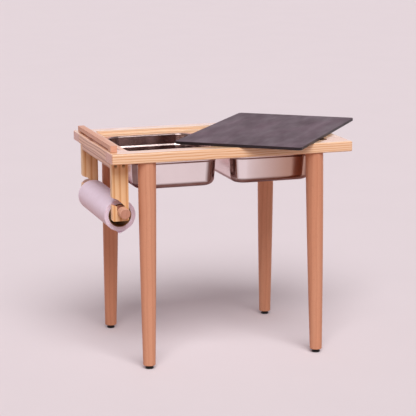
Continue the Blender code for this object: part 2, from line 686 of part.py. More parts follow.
def rod_profile():
    """Turned rod from front to back: knob, neck in the bracket, body, neck, wide knob."""
    body = BRACKET_INNER - ROD_PLAY
    neck_end = BRACKET_INNER + BRACKET_THICKNESS + ROD_PLAY
    end = neck_end + KNOB_LENGTH
    neck = ROD_NECK_D / 2

    def half(knob):
        """Points from the end of a knob of that radius to the rod's body."""
        return [(0, end), (knob - KNOB_ROUND, end), (knob, end - KNOB_ROUND), (knob, neck_end), (neck, neck_end),
                (neck, body), (ROD_D / 2, body)]

    return half(ROD_D / 2) + [(radius, -height) for radius, height in reversed(half(BACK_KNOB_D / 2))]


def roll_outline():
    """End view of the wound paper: a circle whose last turn leaves it as a nearly straight loose end."""
    radius = ROLL_D / 2
    leave = math.radians(TAIL_FROM)
    outward = Vector((math.cos(leave), math.sin(leave)))
    along = Vector((math.sin(leave), -math.cos(leave)))
    steps = 8
    outside, inside = [], []
    for step in range(steps + 1):
        run = TAIL_LENGTH * step / steps
        point = outward * (radius - run * run / (2 * TAIL_CURL)) + along * run
        under = point - outward * TAIL_THICKNESS
        outside.append(point)
        if under.length > radius + TAIL_THICKNESS:
            inside.append(under)
    first = inside[0]
    root = math.degrees(math.atan2(first.y, first.x)) + 360.0
    circle = arc((0, 0), radius, TAIL_FROM, root, ROLL_STEPS)[1:]
    return list(reversed(outside)) + circle + inside


def make_roll(shop):
    """Rod in the two hooks, the card tube that hangs on it and the paper wound on the tube."""
    lying = Matrix.Rotation(math.pi / 2, 4, "X")
    rod = turned("paper_rod", rod_profile(), ROUND_STEPS)
    shop.add("paper_rod", rod, shop.beech, at(ROD_X, 0, ROD_Z) @ lying)
    bore, half = CORE_BORE / 2, ROLL_LENGTH / 2
    outer = bore + CORE_WALL
    wall = [(bore, half), (outer, half), (outer, -half), (bore, -half)]
    axis = at(ROD_X, 0, ROLL_Z) @ lying
    shop.add("roll_core", turned("roll_core", wall, ROLL_STEPS, closed=True), shop.card, axis)
    hole = arc((0, 0), outer + GAP, 0, 360, ROLL_STEPS)[:-1]
    paper = extruded("paper_roll", [roll_outline(), hole], ROLL_LENGTH)
    shop.add("paper_roll", paper, shop.paper, axis)


def centre_on_floor(shop):
    """Move the root so that the box of all pieces is centred on X = Y = 0 and stands on Z = 0."""
    bpy.context.view_layer.update()
    depsgraph = bpy.context.evaluated_depsgraph_get()
    points = []
    for obj in shop.parts.objects:
        if obj.type == "MESH":
            evaluated = obj.evaluated_get(depsgraph)
            mesh = evaluated.to_mesh()
            points.extend(evaluated.matrix_world @ vertex.co for vertex in mesh.vertices)
            evaluated.to_mesh_clear()
    low = [min(point[axis] for point in points) for axis in range(3)]
    high = [max(point[axis] for point in points) for axis in range(3)]
    shop.root.location = (-(low[0] + high[0]) / 2, -(low[1] + high[1]) / 2, -low[2])
    bpy.context.view_layer.update()


def main():
    """Build the table."""
    clear_scene()
    shop = Workshop()
    rails = make_frame(shop)
    make_pans(shop)
    make_lid(shop)
    make_legs(shop, rails)
    make_paper_bar(shop, rails)
    make_brackets(shop, rails)
    make_cleat(shop, rails)
    make_roll(shop)
    centre_on_floor(shop)
    return shop


if __name__ == "__main__":
    main()
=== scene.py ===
"""Sensory play table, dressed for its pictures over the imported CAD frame.

Each sub-assembly is a class. Its sizes are fields, in metres and degrees, measured from the middle
of the table top's outline on the floor. Its methods work out the surfaces with numpy and give each
piece its finish.
"""

import logging
import math
from dataclasses import dataclass, replace
from enum import Enum

import bmesh
import bpy
import numpy as np
from mathutils import Matrix, Vector


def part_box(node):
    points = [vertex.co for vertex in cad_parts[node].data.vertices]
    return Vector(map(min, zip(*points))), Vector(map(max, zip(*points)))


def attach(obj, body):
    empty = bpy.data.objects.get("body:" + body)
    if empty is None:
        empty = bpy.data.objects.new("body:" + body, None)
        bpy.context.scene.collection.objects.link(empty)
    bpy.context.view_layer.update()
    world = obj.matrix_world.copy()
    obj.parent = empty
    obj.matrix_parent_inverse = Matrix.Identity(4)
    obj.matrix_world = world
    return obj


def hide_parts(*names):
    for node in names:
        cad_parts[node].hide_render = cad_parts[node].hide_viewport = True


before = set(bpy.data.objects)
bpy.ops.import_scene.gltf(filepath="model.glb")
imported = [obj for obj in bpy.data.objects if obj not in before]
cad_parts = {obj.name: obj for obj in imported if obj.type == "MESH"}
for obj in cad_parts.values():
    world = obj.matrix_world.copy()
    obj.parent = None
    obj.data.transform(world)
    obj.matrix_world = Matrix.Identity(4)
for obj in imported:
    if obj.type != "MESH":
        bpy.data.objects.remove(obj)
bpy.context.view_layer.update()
LOG = logging.getLogger("play_table")

Piece = bpy.types.Object
Material = bpy.types.Material
Node = bpy.types.Node
Socket = bpy.types.NodeSocket
Pair = tuple[float, float]
Triple = tuple[float, float, float]
Colour = Triple
Value = Socket | float | Triple

LEFT_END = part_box("left_rail")[0]
RIGHT_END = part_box("right_rail")[1]
MIDDLE = np.array([(LEFT_END.x + RIGHT_END.x) / 2, (LEFT_END.y + RIGHT_END.y) / 2, 0.0])
TOP = 0.586
UNDERSIDE = 0.558

QUARTER = np.pi / 2.0
MERGE_DISTANCE = 0.000002
CREASE = 40.0
DULLING = (0.2, 0.8)  # values of a noise over which roughness changes
WAVE_SCALE = 0.31416  # a wave texture of this scale repeats once a metre


class Axis(Enum):
    """Axes of the frame, by number."""

    X = 0
    Y = 1
    Z = 2


class Corner(Enum):
    """The four corners of the table, each with its signs along X and Y."""

    FRONT_LEFT = (-1, -1)
    FRONT_RIGHT = (1, -1)
    BACK_LEFT = (-1, 1)
    BACK_RIGHT = (1, 1)

    @property
    def tag(self) -> str:
        """Name of the corner as the CAD nodes write it."""
        return self.name.lower()


class Side(Enum):
    """Front and back, with the sign along Y."""

    FRONT = -1
    BACK = 1

    @property
    def tag(self) -> str:
        """Name of the side as the CAD nodes write it."""
        return self.name.lower()


class End(Enum):
    """Left and right, with the sign along X."""

    LEFT = -1
    RIGHT = 1

    @property
    def tag(self) -> str:
        """Name of the end as the CAD nodes write it."""
        return self.name.lower()


class Grain(Enum):
    """Axes of a board: along its fibres, through its growth rings, and across both."""

    LENGTHWAYS = ("X", "Z", "Y")
    CROSSWAYS = ("Y", "Z", "X")
    UPRIGHT = ("Z", "X", "Y")


def tint(red: int, green: int, blue: int) -> Colour:
    """Linear colour of a display colour.

    A share s of full brightness becomes s / 12.92 near black, and (s + 0.055) / 1.055 to the power
    of 2.4 above that.

    Args:
        red: red from 0 to 255.
        green: green from 0 to 255.
        blue: blue from 0 to 255.

    Returns:
        The colour in linear light.
    """
    share = np.array([red, green, blue]) / 255.0
    linear = np.where(share <= 0.04045, share / 12.92, ((share + 0.055) / 1.055) ** 2.4)
    return tuple(float(value) for value in linear)


def darkened(colour: Colour, share: float) -> Colour:
    """The share of a colour that is left."""
    return tuple(value * share for value in colour)


# Surfaces

def unit(vectors: np.ndarray) -> np.ndarray:
    """Vectors of length one in the same directions."""
    return vectors / np.linalg.norm(vectors, axis=-1, keepdims=True)


def mirrored(half: np.ndarray, opposite: bool = False) -> np.ndarray:
    """Both halves of a symmetric row.

    Args:
        half: values of one half, which starts at the middle.
        opposite: True where the other half has the opposite sign.

    Returns:
        The other half, from its end to the middle, and then the first.
    """
    other = half[:0:-1]
    return np.concatenate([-other if opposite else other, half])


def waves(place: np.ndarray, terms: tuple[Triple, ...]) -> np.ndarray:
    """Sum of sines: a times the sine of (f times the place, plus p), for each (a, f, p)."""
    return sum(height * np.sin(place * rate + start) for height, rate, start in terms)


def rounding(reach: np.ndarray, end: float, radius: float) -> np.ndarray:
    """How far a quarter circle before an end draws an edge in.

    A run t past the start of the quarter circle of radius r, it is r less the root of (r squared
    less t squared).

    Args:
        reach: distances from the middle.
        end: distance of the end.
        radius: radius of the quarter circle.

    Returns:
        The depth at each distance, 0 before the quarter circle.
    """
    run = np.clip(reach - (end - radius), 0.0, radius)
    return radius - np.sqrt(radius ** 2 - run ** 2)


def arc(centre: Pair, radius: float, start: float, end: float, steps: int) -> np.ndarray:
    """Points on an arc: the centre plus the radius times the cosine and sine of the angle.

    Args:
        centre: centre of the arc.
        radius: its radius.
        start: first angle, in degrees.
        end: last angle, in degrees.
        steps: number of points.

    Returns:
        Array of points by two.
    """
    angle = np.radians(np.linspace(start, end, steps))
    return np.array(centre) + radius * np.stack([np.cos(angle), np.sin(angle)], axis=-1)


def quarters(across: np.ndarray, level: np.ndarray, radius: np.ndarray, start: float,
             steps: int) -> np.ndarray:
    """Quarter circles in many sections at once, run clockwise from the same angle.

    Args:
        across: first coordinate of each centre.
        level: second coordinate of each centre.
        radius: radius of each quarter circle.
        start: angle where they start, in degrees.
        steps: points on each.

    Returns:
        Array of sections by points by two.
    """
    angle = math.radians(start) - np.linspace(0.0, QUARTER, steps)
    centre = np.stack([across, level], axis=-1)[:, None]
    return centre + radius[:, None, None] * np.stack([np.cos(angle), np.sin(angle)], axis=-1)


def filleted(corners: np.ndarray, radii: np.ndarray, steps: int) -> np.ndarray:
    """Closed outline whose corners are rounded.

    At each corner the arc's centre lies on the bisector, the radius over the sine of half the
    corner's angle away, and the arc runs between the two points where it touches the sides.

    Args:
        corners: corner points of the outline, in order.
        radii: radius at each corner.
        steps: points on each arc.

    Returns:
        Points of the outline.
    """
    to_before = unit(np.roll(corners, 1, axis=0) - corners)
    to_after = unit(np.roll(corners, -1, axis=0) - corners)
    half = np.arccos(np.clip(np.sum(to_before * to_after, axis=1), -1.0, 1.0)) / 2.0
    centre = corners + unit(to_before + to_after) * (radii / np.sin(half))[:, None]
    touch = (radii / np.tan(half))[:, None]
    first = corners + to_before * touch - centre
    last = corners + to_after * touch - centre
    start = np.arctan2(first[:, 1], first[:, 0])
    sweep = np.arctan2(last[:, 1], last[:, 0]) - start
    sweep = (sweep + np.pi) % (2.0 * np.pi) - np.pi
    angle = start[:, None] + sweep[:, None] * np.linspace(0.0, 1.0, steps)
    reach = radii[:, None, None] * np.stack([np.cos(angle), np.sin(angle)], axis=-1)
    return (reach + centre[:, None, :]).reshape(-1, 2)


def rounded_rectangles(half_x: np.ndarray, half_y: np.ndarray, corner: np.ndarray,
                       steps: int) -> np.ndarray:
    """Rings of rectangles with round corners, all with the same number of points.

    Each corner is a quarter circle about a centre that lies one radius in from both sides.

    Args:
        half_x: half the first size of each ring.
        half_y: half the second size of each ring.
        corner: corner radius of each ring.
        steps: points on each quarter circle.

    Returns:
        Array of rings by points by two.
    """
    signs = np.array([(1, 1), (-1, 1), (-1, -1), (1, -1)], dtype=float)[None, :, None, :]
    angle = np.radians(np.arange(4)[:, None] * 90.0 + np.linspace(0.0, 90.0, steps))
    centre = np.stack([half_x - corner, half_y - corner], axis=-1)[:, None, None, :]
    reach = np.stack([np.cos(angle), np.sin(angle)], axis=-1)
    return (signs * centre + corner[:, None, None, None] * reach).reshape(len(half_x), -1, 2)


def eased_levels(low: float, high: float, ease: float, steps: int) -> tuple[np.ndarray, np.ndarray]:
    """Levels of a plate with eased edges, and how far each level's outline is drawn in.

    Near each face the edge is a quarter circle: drawn in by e (1 - sin a) at a level e (1 - cos a)
    from the face.

    Args:
        low: level of the lower face.
        high: level of the upper face.
        ease: radius e of the edges.
        steps: levels on each edge.

    Returns:
        The levels, and the depth at each.
    """
    angle = np.linspace(0.0, QUARTER, steps)
    drawn, rise = ease * (1.0 - np.sin(angle)), ease * (1.0 - np.cos(angle))
    return np.concatenate([low + rise, (high - rise)[::-1]]), np.concatenate([drawn, drawn[::-1]])


def stacked(sections: np.ndarray, place: np.ndarray, axis: Axis) -> np.ndarray:
    """Points of flat sections that are set along an axis.

    Args:
        sections: array of sections by points by two, on the other two axes.
        place: place of each section along the axis.
        axis: the axis.

    Returns:
        Array of sections by points by three.
    """
    columns = [sections[..., 0], sections[..., 1]]
    columns.insert(axis.value, np.broadcast_to(place[:, None], sections.shape[:2]))
    return np.stack(columns, axis=-1)


def turned(profile: np.ndarray, steps: int) -> np.ndarray:
    """Rings of a profile turned about Z: x = r cos a, y = r sin a, z = h.

    Args:
        profile: rows of radius r and height h.
        steps: points on each ring.

    Returns:
        Array of rings by points by three.
    """
    angle = np.linspace(0.0, 2.0 * np.pi, steps, endpoint=False)
    circle = np.stack([np.cos(angle), np.sin(angle)], axis=-1)
    return stacked(profile[:, :1, None] * circle, profile[:, 1], Axis.Z)


def lying(points: np.ndarray) -> np.ndarray:
    """Turn a shape that stands along Z so that it lies along Y, its X kept."""
    return np.stack([points[..., 0], points[..., 2], -points[..., 1]], axis=-1)


def grid_quads(rings: int, around: int, loop: bool) -> np.ndarray:
    """Quads between neighbouring rings of a grid.

    Args:
        rings: number of rings.
        around: number of points in a ring, which closes on itself.
        loop: True where the last ring joins the first.

    Returns:
        Four point numbers for each quad.
    """
    first = np.arange(rings if loop else rings - 1)
    row, column = np.meshgrid(first, np.arange(around), indexing="ij")
    here, below = row * around, (row + 1) % rings * around
    beside = (column + 1) % around
    corners = (here + column, here + beside, below + beside, below + column)
    return np.stack(corners, axis=-1).reshape(-1, 4)


def signed_volume(points: np.ndarray, faces: list[list[int]]) -> float:
    """Volume inside a closed surface, negative where its faces point inwards.

    Each face is cut into a fan of triangles from its first point, and each triangle adds the volume
    of the pyramid that it makes with the origin.

    Args:
        points: points of the surface.
        faces: point numbers of each face.

    Returns:
        The volume.
    """
    total = 0.0
    for count in sorted({len(face) for face in faces}):
        same = np.array([face for face in faces if len(face) == count])
        edge = np.cross(points[same[:, 1:-1]], points[same[:, 2:]])
        total += float(np.sum(points[same[:, :1]] * edge)) / 6.0
    return total


def finished(name: str, mesh: bpy.types.Mesh) -> Piece:
    """Merge a mesh's doubles, shade it smooth between its sharp edges and link it as a piece.

    Args:
        name: name of the piece.
        mesh: its mesh.

    Returns:
        The piece.
    """
    work = bmesh.new()
    work.from_mesh(mesh)
    bmesh.ops.remove_doubles(work, verts=work.verts, dist=MERGE_DISTANCE)
    work.to_mesh(mesh)
    work.free()
    mesh.shade_smooth()
    mesh.set_sharp_from_angle(angle=math.radians(CREASE))
    piece = bpy.data.objects.new(name, mesh)
    bpy.context.scene.collection.objects.link(piece)
    even = piece.modifiers.new("EvenShade", "WEIGHTED_NORMAL")
    even.keep_sharp = True
    return piece


def enclosed(name: str, points: np.ndarray, faces: list[list[int]]) -> Piece:
    """Piece of a closed surface, with its faces turned outwards.

    Args:
        name: name of the piece.
        points: grid of points, in the CAD frame.
        faces: point numbers of each face, all turned the same way.

    Returns:
        The piece.
    """
    flat = points.reshape(-1, 3)
    if signed_volume(flat - flat.mean(axis=0), faces) < 0.0:
        faces = [face[::-1] for face in faces]
    mesh = bpy.data.meshes.new(name)
    mesh.from_pydata(flat, [], faces)
    return finished(name, mesh)


def surface(name: str, points: np.ndarray, caps: bool = True, loop: bool = False) -> Piece:
    """Closed piece made of a stack of rings.

    Neighbouring rings are joined by quads. One polygon closes each end where there are caps, and
    the last ring joins the first in a loop. Points that meet, as at a pole, are merged.

    Args:
        name: name of the piece.
        points: array of rings by points by three, in the CAD frame.
        caps: True to close the two ends.
        loop: True to join the last ring to the first.

    Returns:
        The piece.
    """
    rings, around = points.shape[:2]
    faces = grid_quads(rings, around, loop).tolist()
    if caps and not loop:
        faces.append(list(range(around))[::-1])
        faces.append(list(range((rings - 1) * around, rings * around)))
    return enclosed(name, points, faces)


def bored(piece: Piece, bits: list[Piece]) -> Piece:
    """Cut bores into a piece and keep the result as its mesh.

    Args:
        piece: the piece.
        bits: closed pieces in the shape of the bores, which are removed.

    Returns:
        The bored piece, which takes the place of the first.
    """
    name, old = piece.name, piece.data
    for bit in bits:
        cut = piece.modifiers.new(bit.name, "BOOLEAN")
        cut.object = bit
        cut.solver = "EXACT"
    bpy.context.view_layer.update()
    whole = piece.evaluated_get(bpy.context.evaluated_depsgraph_get())
    mesh = bpy.data.meshes.new_from_object(whole)
    for thing in (piece, *bits):
        bpy.data.objects.remove(thing)
    bpy.data.meshes.remove(old)
    mesh.name = name
    return finished(name, mesh)


# Finishes

@dataclass(frozen=True)
class Cloud:
    """Noise in a finish: the ends of the span of its values that tells become the two in to."""

    scale: float
    detail: float
    span: Pair = (0.3, 0.7)
    to: Pair = (0.0, 1.0)
    stretch: Triple = (1.0, 1.0, 1.0)
    turn: Triple = (0.0, 0.0, 0.0)


class Tree:
    """A node tree, with short ways to add to it."""

    def __init__(self, tree: bpy.types.NodeTree) -> None:
        """Take a tree."""
        self.tree = tree

    def add(self, kind: str, settings: dict | None = None, inputs: dict | None = None) -> Node:
        """Add a node.

        Args:
            kind: node type, without the word ShaderNode.
            settings: properties of the node.
            inputs: values or sockets for its inputs, by name or number.

        Returns:
            The node.
        """
        node = self.tree.nodes.new("ShaderNode" + kind)
        for key, value in (settings or {}).items():
            setattr(node, key, value)
        for key, value in (inputs or {}).items():
            self.feed(node, key, value)
        return node

    def feed(self, node: Node, key: str | int, value: object) -> None:
        """Set an input of a node, or link a socket to it.

        Args:
            node: the node.
            key: name or number of the input.
            value: a value, or the socket of another node.
        """
        if isinstance(value, Socket):
            self.tree.links.new(value, node.inputs[key])
        else:
            node.inputs[key].default_value = value

    def mapped(self, vector: Socket, move: Triple = (0.0, 0.0, 0.0), turn: Triple = (0.0, 0.0, 0.0),
               stretch: Triple = (1.0, 1.0, 1.0)) -> Socket:
        """Coordinates that are stretched, turned and moved, in this order."""
        inputs = {"Vector": vector, "Location": move, "Rotation": turn, "Scale": stretch}
        return self.add("Mapping", {}, inputs).outputs["Vector"]

    def split(self, vector: Socket) -> dict[str, Socket]:
        """X, Y and Z of a vector, by name."""
        outputs = self.add("SeparateXYZ", {}, {"Vector": vector}).outputs
        return {name: outputs[name] for name in "XYZ"}

    def joined(self, x: Value, y: Value, z: Value) -> Socket:
        """Vector of three values."""
        return self.add("CombineXYZ", {}, {"X": x, "Y": y, "Z": z}).outputs["Vector"]

    def cloud(self, vector: Socket, pattern: Cloud) -> Socket:
        """Noise from 0 to 1.

        Args:
            vector: coordinates.
            pattern: look of the noise.

        Returns:
            The noise.
        """
        place = self.mapped(vector, turn=pattern.turn, stretch=pattern.stretch)
        inputs = {"Vector": place, "Scale": pattern.scale, "Detail": pattern.detail}
        return self.add("TexNoise", {}, inputs).outputs["Fac"]

    def share(self, value: Value, span: Pair, to: Pair = (0.0, 1.0)) -> Socket:
        """Map a span of values to another one, clamped.

        Args:
            value: the value.
            span: ends of the span.
            to: what the two ends become.

        Returns:
            The mapped value.
        """
        inputs = {"Value": value, "From Min": span[0], "From Max": span[1],
                  "To Min": to[0], "To Max": to[1]}
        return self.add("MapRange", {}, inputs).outputs["Result"]

    def veil(self, noise: Socket, pattern: Cloud) -> Socket:
        """Share that a noise gives by its pattern."""
        return self.share(noise, pattern.span, pattern.to)

    def ramp(self, value: Socket, stops: list[tuple[float, Colour]]) -> Socket:
        """Colour from a ramp.

        Args:
            value: place on the ramp.
            stops: place and colour of each stop.

        Returns:
            The colour.
        """
        node = self.add("ValToRGB", {}, {"Fac": value})
        elements = node.color_ramp.elements
        while len(elements) < len(stops):
            elements.new(0.5)
        for element, (place, colour) in zip(elements, stops):
            element.position = place
            element.color = (*colour, 1.0)
        return node.outputs["Color"]

    def blend(self, share: Value, first: Value, second: Value, kind: str = "MIX") -> Socket:
        """Mix two colours.

        Args:
            share: share of the second, from 0 to 1.
            first: a colour, or its socket.
            second: a colour, or its socket.
            kind: Blender's name for the way of mixing.

        Returns:
            The mixed colour.
        """
        node = self.add("Mix", {"data_type": "RGBA", "blend_type": kind})
        for number, value in ((0, share), (6, first), (7, second)):
            self.feed(node, number, (*value, 1.0) if isinstance(value, tuple) else value)
        return node.outputs[2]

    def reckon(self, kind: str, first: Value, second: Value = 0.0) -> Socket:
        """Result of one of Blender's operations on one or two values."""
        return self.add("Math", {"operation": kind}, {0: first, 1: second}).outputs[0]

    def sum(self, first: Value, second: Value) -> Socket:
        """Sum of two values."""
        return self.reckon("ADD", first, second)

    def product(self, first: Value, second: Value) -> Socket:
        """Product of two values."""
        return self.reckon("MULTIPLY", first, second)

    def larger(self, first: Value, second: Value) -> Socket:
        """The larger of two values."""
        return self.reckon("MAXIMUM", first, second)

    def size(self, value: Value) -> Socket:
        """A value without its sign."""
        return self.reckon("ABSOLUTE", value)


class Nodes(Tree):
    """The node tree of one procedural material."""

    def __init__(self, name: str) -> None:
        """Make an empty material with its shader.

        Args:
            name: name of the material.
        """
        self.material = bpy.data.materials.new(name)
        self.material.use_nodes = True
        super().__init__(self.material.node_tree)
        self.shader = self.tree.nodes["Principled BSDF"]

    def shade(self, **inputs: Value) -> None:
        """Set or link inputs of the shader.

        Args:
            inputs: values or sockets, by the inputs' names with underscores for spaces.
        """
        for key, value in inputs.items():
            plain = isinstance(value, tuple)
            self.feed(self.shader, key.replace("_", " "), (*value, 1.0) if plain else value)

    def place(self, origin: np.ndarray | None = None, turn: float = 0.0) -> Socket:
        """Object coordinates.

        Args:
            origin: point of the CAD frame that they are measured from.
            turn: degrees by which they are turned about Z.

        Returns:
            The coordinates.
        """
        move = (0.0, 0.0, 0.0) if origin is None else tuple(float(-value) for value in origin)
        coordinates = self.add("TexCoord").outputs["Object"]
        return self.mapped(coordinates, move, (0.0, 0.0, math.radians(turn)))

    def normal(self) -> Socket:
        """Normal of the surface."""
        return self.add("TexCoord").outputs["Normal"]

    def bump(self, height: Socket, relief: Pair) -> None:
        """Let a height move the shading of the surface.

        Args:
            height: the height, from 0 to 1.
            relief: what a height of 1 stands for, in metres, and the share of the effect.
        """
        distance, strength = relief
        inputs = {"Height": height, "Distance": distance, "Strength": strength}
        self.shade(Normal=self.add("Bump", {}, inputs).outputs["Normal"])


@dataclass(frozen=True)
class Wood:
    """Planed wood: growth rings through the whole board, fine fibres and darker end grain.

    A year's ring is as wide as ring says, and sways by wander. In each year the late colour begins
    and is deepest at the two places in year.
    """

    early: Colour
    late: Colour
    warm: Colour
    ring: float
    wander: float
    contrast: float
    fibre: float
    fleck: float
    roughness: Pair
    gloss: float
    coat: float
    end: Colour
    year: Pair = (0.52, 0.82)
    begun: float = 0.20
    drawn: Triple = (0.05, 1.0, 1.0)
    sway: Cloud = Cloud(26.0, 1.5, (0.25, 0.75), stretch=(0.28, 1.0, 1.0))
    patches: Cloud = Cloud(22.0, 3.0, (0.35, 0.7), (0.0, 0.55), (0.05, 1.0, 1.0))
    fibres: Cloud = Cloud(1500.0, 2.0, stretch=(0.035, 1.0, 1.0))
    pores: Cloud = Cloud(1100.0, 1.0, (0.62, 0.74), stretch=(0.16, 1.0, 1.0))
    pore_left: float = 0.45
    # Share of the late colour left in the painted shade of the bores.
    bore_shade_left: float = 0.12
    end_from: Pair = (0.75, 0.97)
    coat_roughness: float = 0.15
    ring_relief: float = 0.35
    relief: Pair = (0.00012, 0.5)

    def rings(self, nodes: Nodes, board: Socket) -> Socket:
        """Growth rings, from 0 at the start of a year to 1 at its end.

        The distance from the trunk's axis, which wanders by noise drawn out along the fibres, gives
        the rings, so that faces, edges and ends of a board belong together.

        Args:
            nodes: nodes of the material.
            board: coordinates along, through and across, measured from the trunk's axis.

        Returns:
            The rings.
        """
        sway = nodes.cloud(board, self.sway)
        aside = nodes.share(sway, self.sway.span, (-self.wander, self.wander))
        drawn = nodes.mapped(board, stretch=self.drawn)
        inputs = {0: drawn, 1: nodes.joined(0.0, aside, aside)}
        bent = nodes.add("VectorMath", {"operation": "ADD"}, inputs).outputs["Vector"]
        settings = {"wave_type": "RINGS", "rings_direction": "X", "wave_profile": "SAW"}
        inputs = {"Vector": bent, "Scale": WAVE_SCALE / self.ring, "Distortion": 4.0,
                  "Detail": 2.0, "Detail Scale": 0.5, "Detail Roughness": 0.45}
        return nodes.add("TexWave", settings, inputs).outputs["Fac"]

    def figure(self, nodes: Nodes, board: Socket, rings: Socket, fibre: Socket) -> Socket:
        """Colour of the rings, with warmer patches, fibres and pores.

        Args:
            nodes: nodes of the material.
            board: coordinates along, through and across.
            rings: the growth rings.
            fibre: the fibres.

        Returns:
            The colour of the board's sides.
        """
        first, deepest = self.year
        begun = tuple(a + (b - a) * self.begun for a, b in zip(self.early, self.late))
        stops = [(0.0, self.early), (first, begun), (deepest, self.late), (1.0, self.early)]
        colour = nodes.blend(self.contrast, self.early, nodes.ramp(rings, stops))
        patches = nodes.veil(nodes.cloud(board, self.patches), self.patches)
        colour = nodes.blend(patches, colour, self.warm, "MULTIPLY")
        lines = nodes.share(fibre, self.fibres.span, (self.fibre, 0.0))
        colour = nodes.blend(lines, colour, self.late, "MULTIPLY")
        pores = nodes.share(nodes.cloud(board, self.pores), self.pores.span, (0.0, self.fleck))
        return nodes.blend(pores, colour, darkened(self.late, self.pore_left))

    def material(self, name: str, grain: Grain, pith: Pair, start: float,
                 bores: bool = False) -> Material:
        """Material of a board cut from a trunk.

        Args:
            name: name of the material.
            grain: axes of the board.
            pith: place of the trunk's axis, through the rings and across them, in metres.
            start: shift along the fibres, which makes two boards differ.
            bores: True where the piece marks its bores, which get painted shade, in the attribute
                bore.

        Returns:
            The material.
        """
        nodes = Nodes(name)
        space = nodes.split(nodes.place())
        shifts = (start, -pith[0], -pith[1])
        board = nodes.joined(*(nodes.sum(space[axis], shift)
                               for axis, shift in zip(grain.value, shifts)))
        rings = self.rings(nodes, board)
        fibre = nodes.cloud(board, self.fibres)
        colour = self.figure(nodes, board, rings, fibre)
        along = nodes.size(nodes.split(nodes.normal())[grain.value[0]])
        colour = nodes.blend(nodes.share(along, self.end_from), colour, self.end, "MULTIPLY")
        # Painted shade in the screw pockets.
        if bores:
            hole = nodes.add("Attribute", {"attribute_name": "bore"}).outputs["Fac"]
            colour = nodes.blend(hole, colour, darkened(self.late, self.bore_shade_left))
        dull = nodes.share(fibre, DULLING, self.roughness)
        nodes.shade(Base_Color=colour, Roughness=dull, Specular_IOR_Level=self.gloss,
                    Coat_Weight=self.coat, Coat_Roughness=self.coat_roughness)
        nodes.bump(nodes.sum(fibre, nodes.product(rings, self.ring_relief)), self.relief)
        return nodes.material


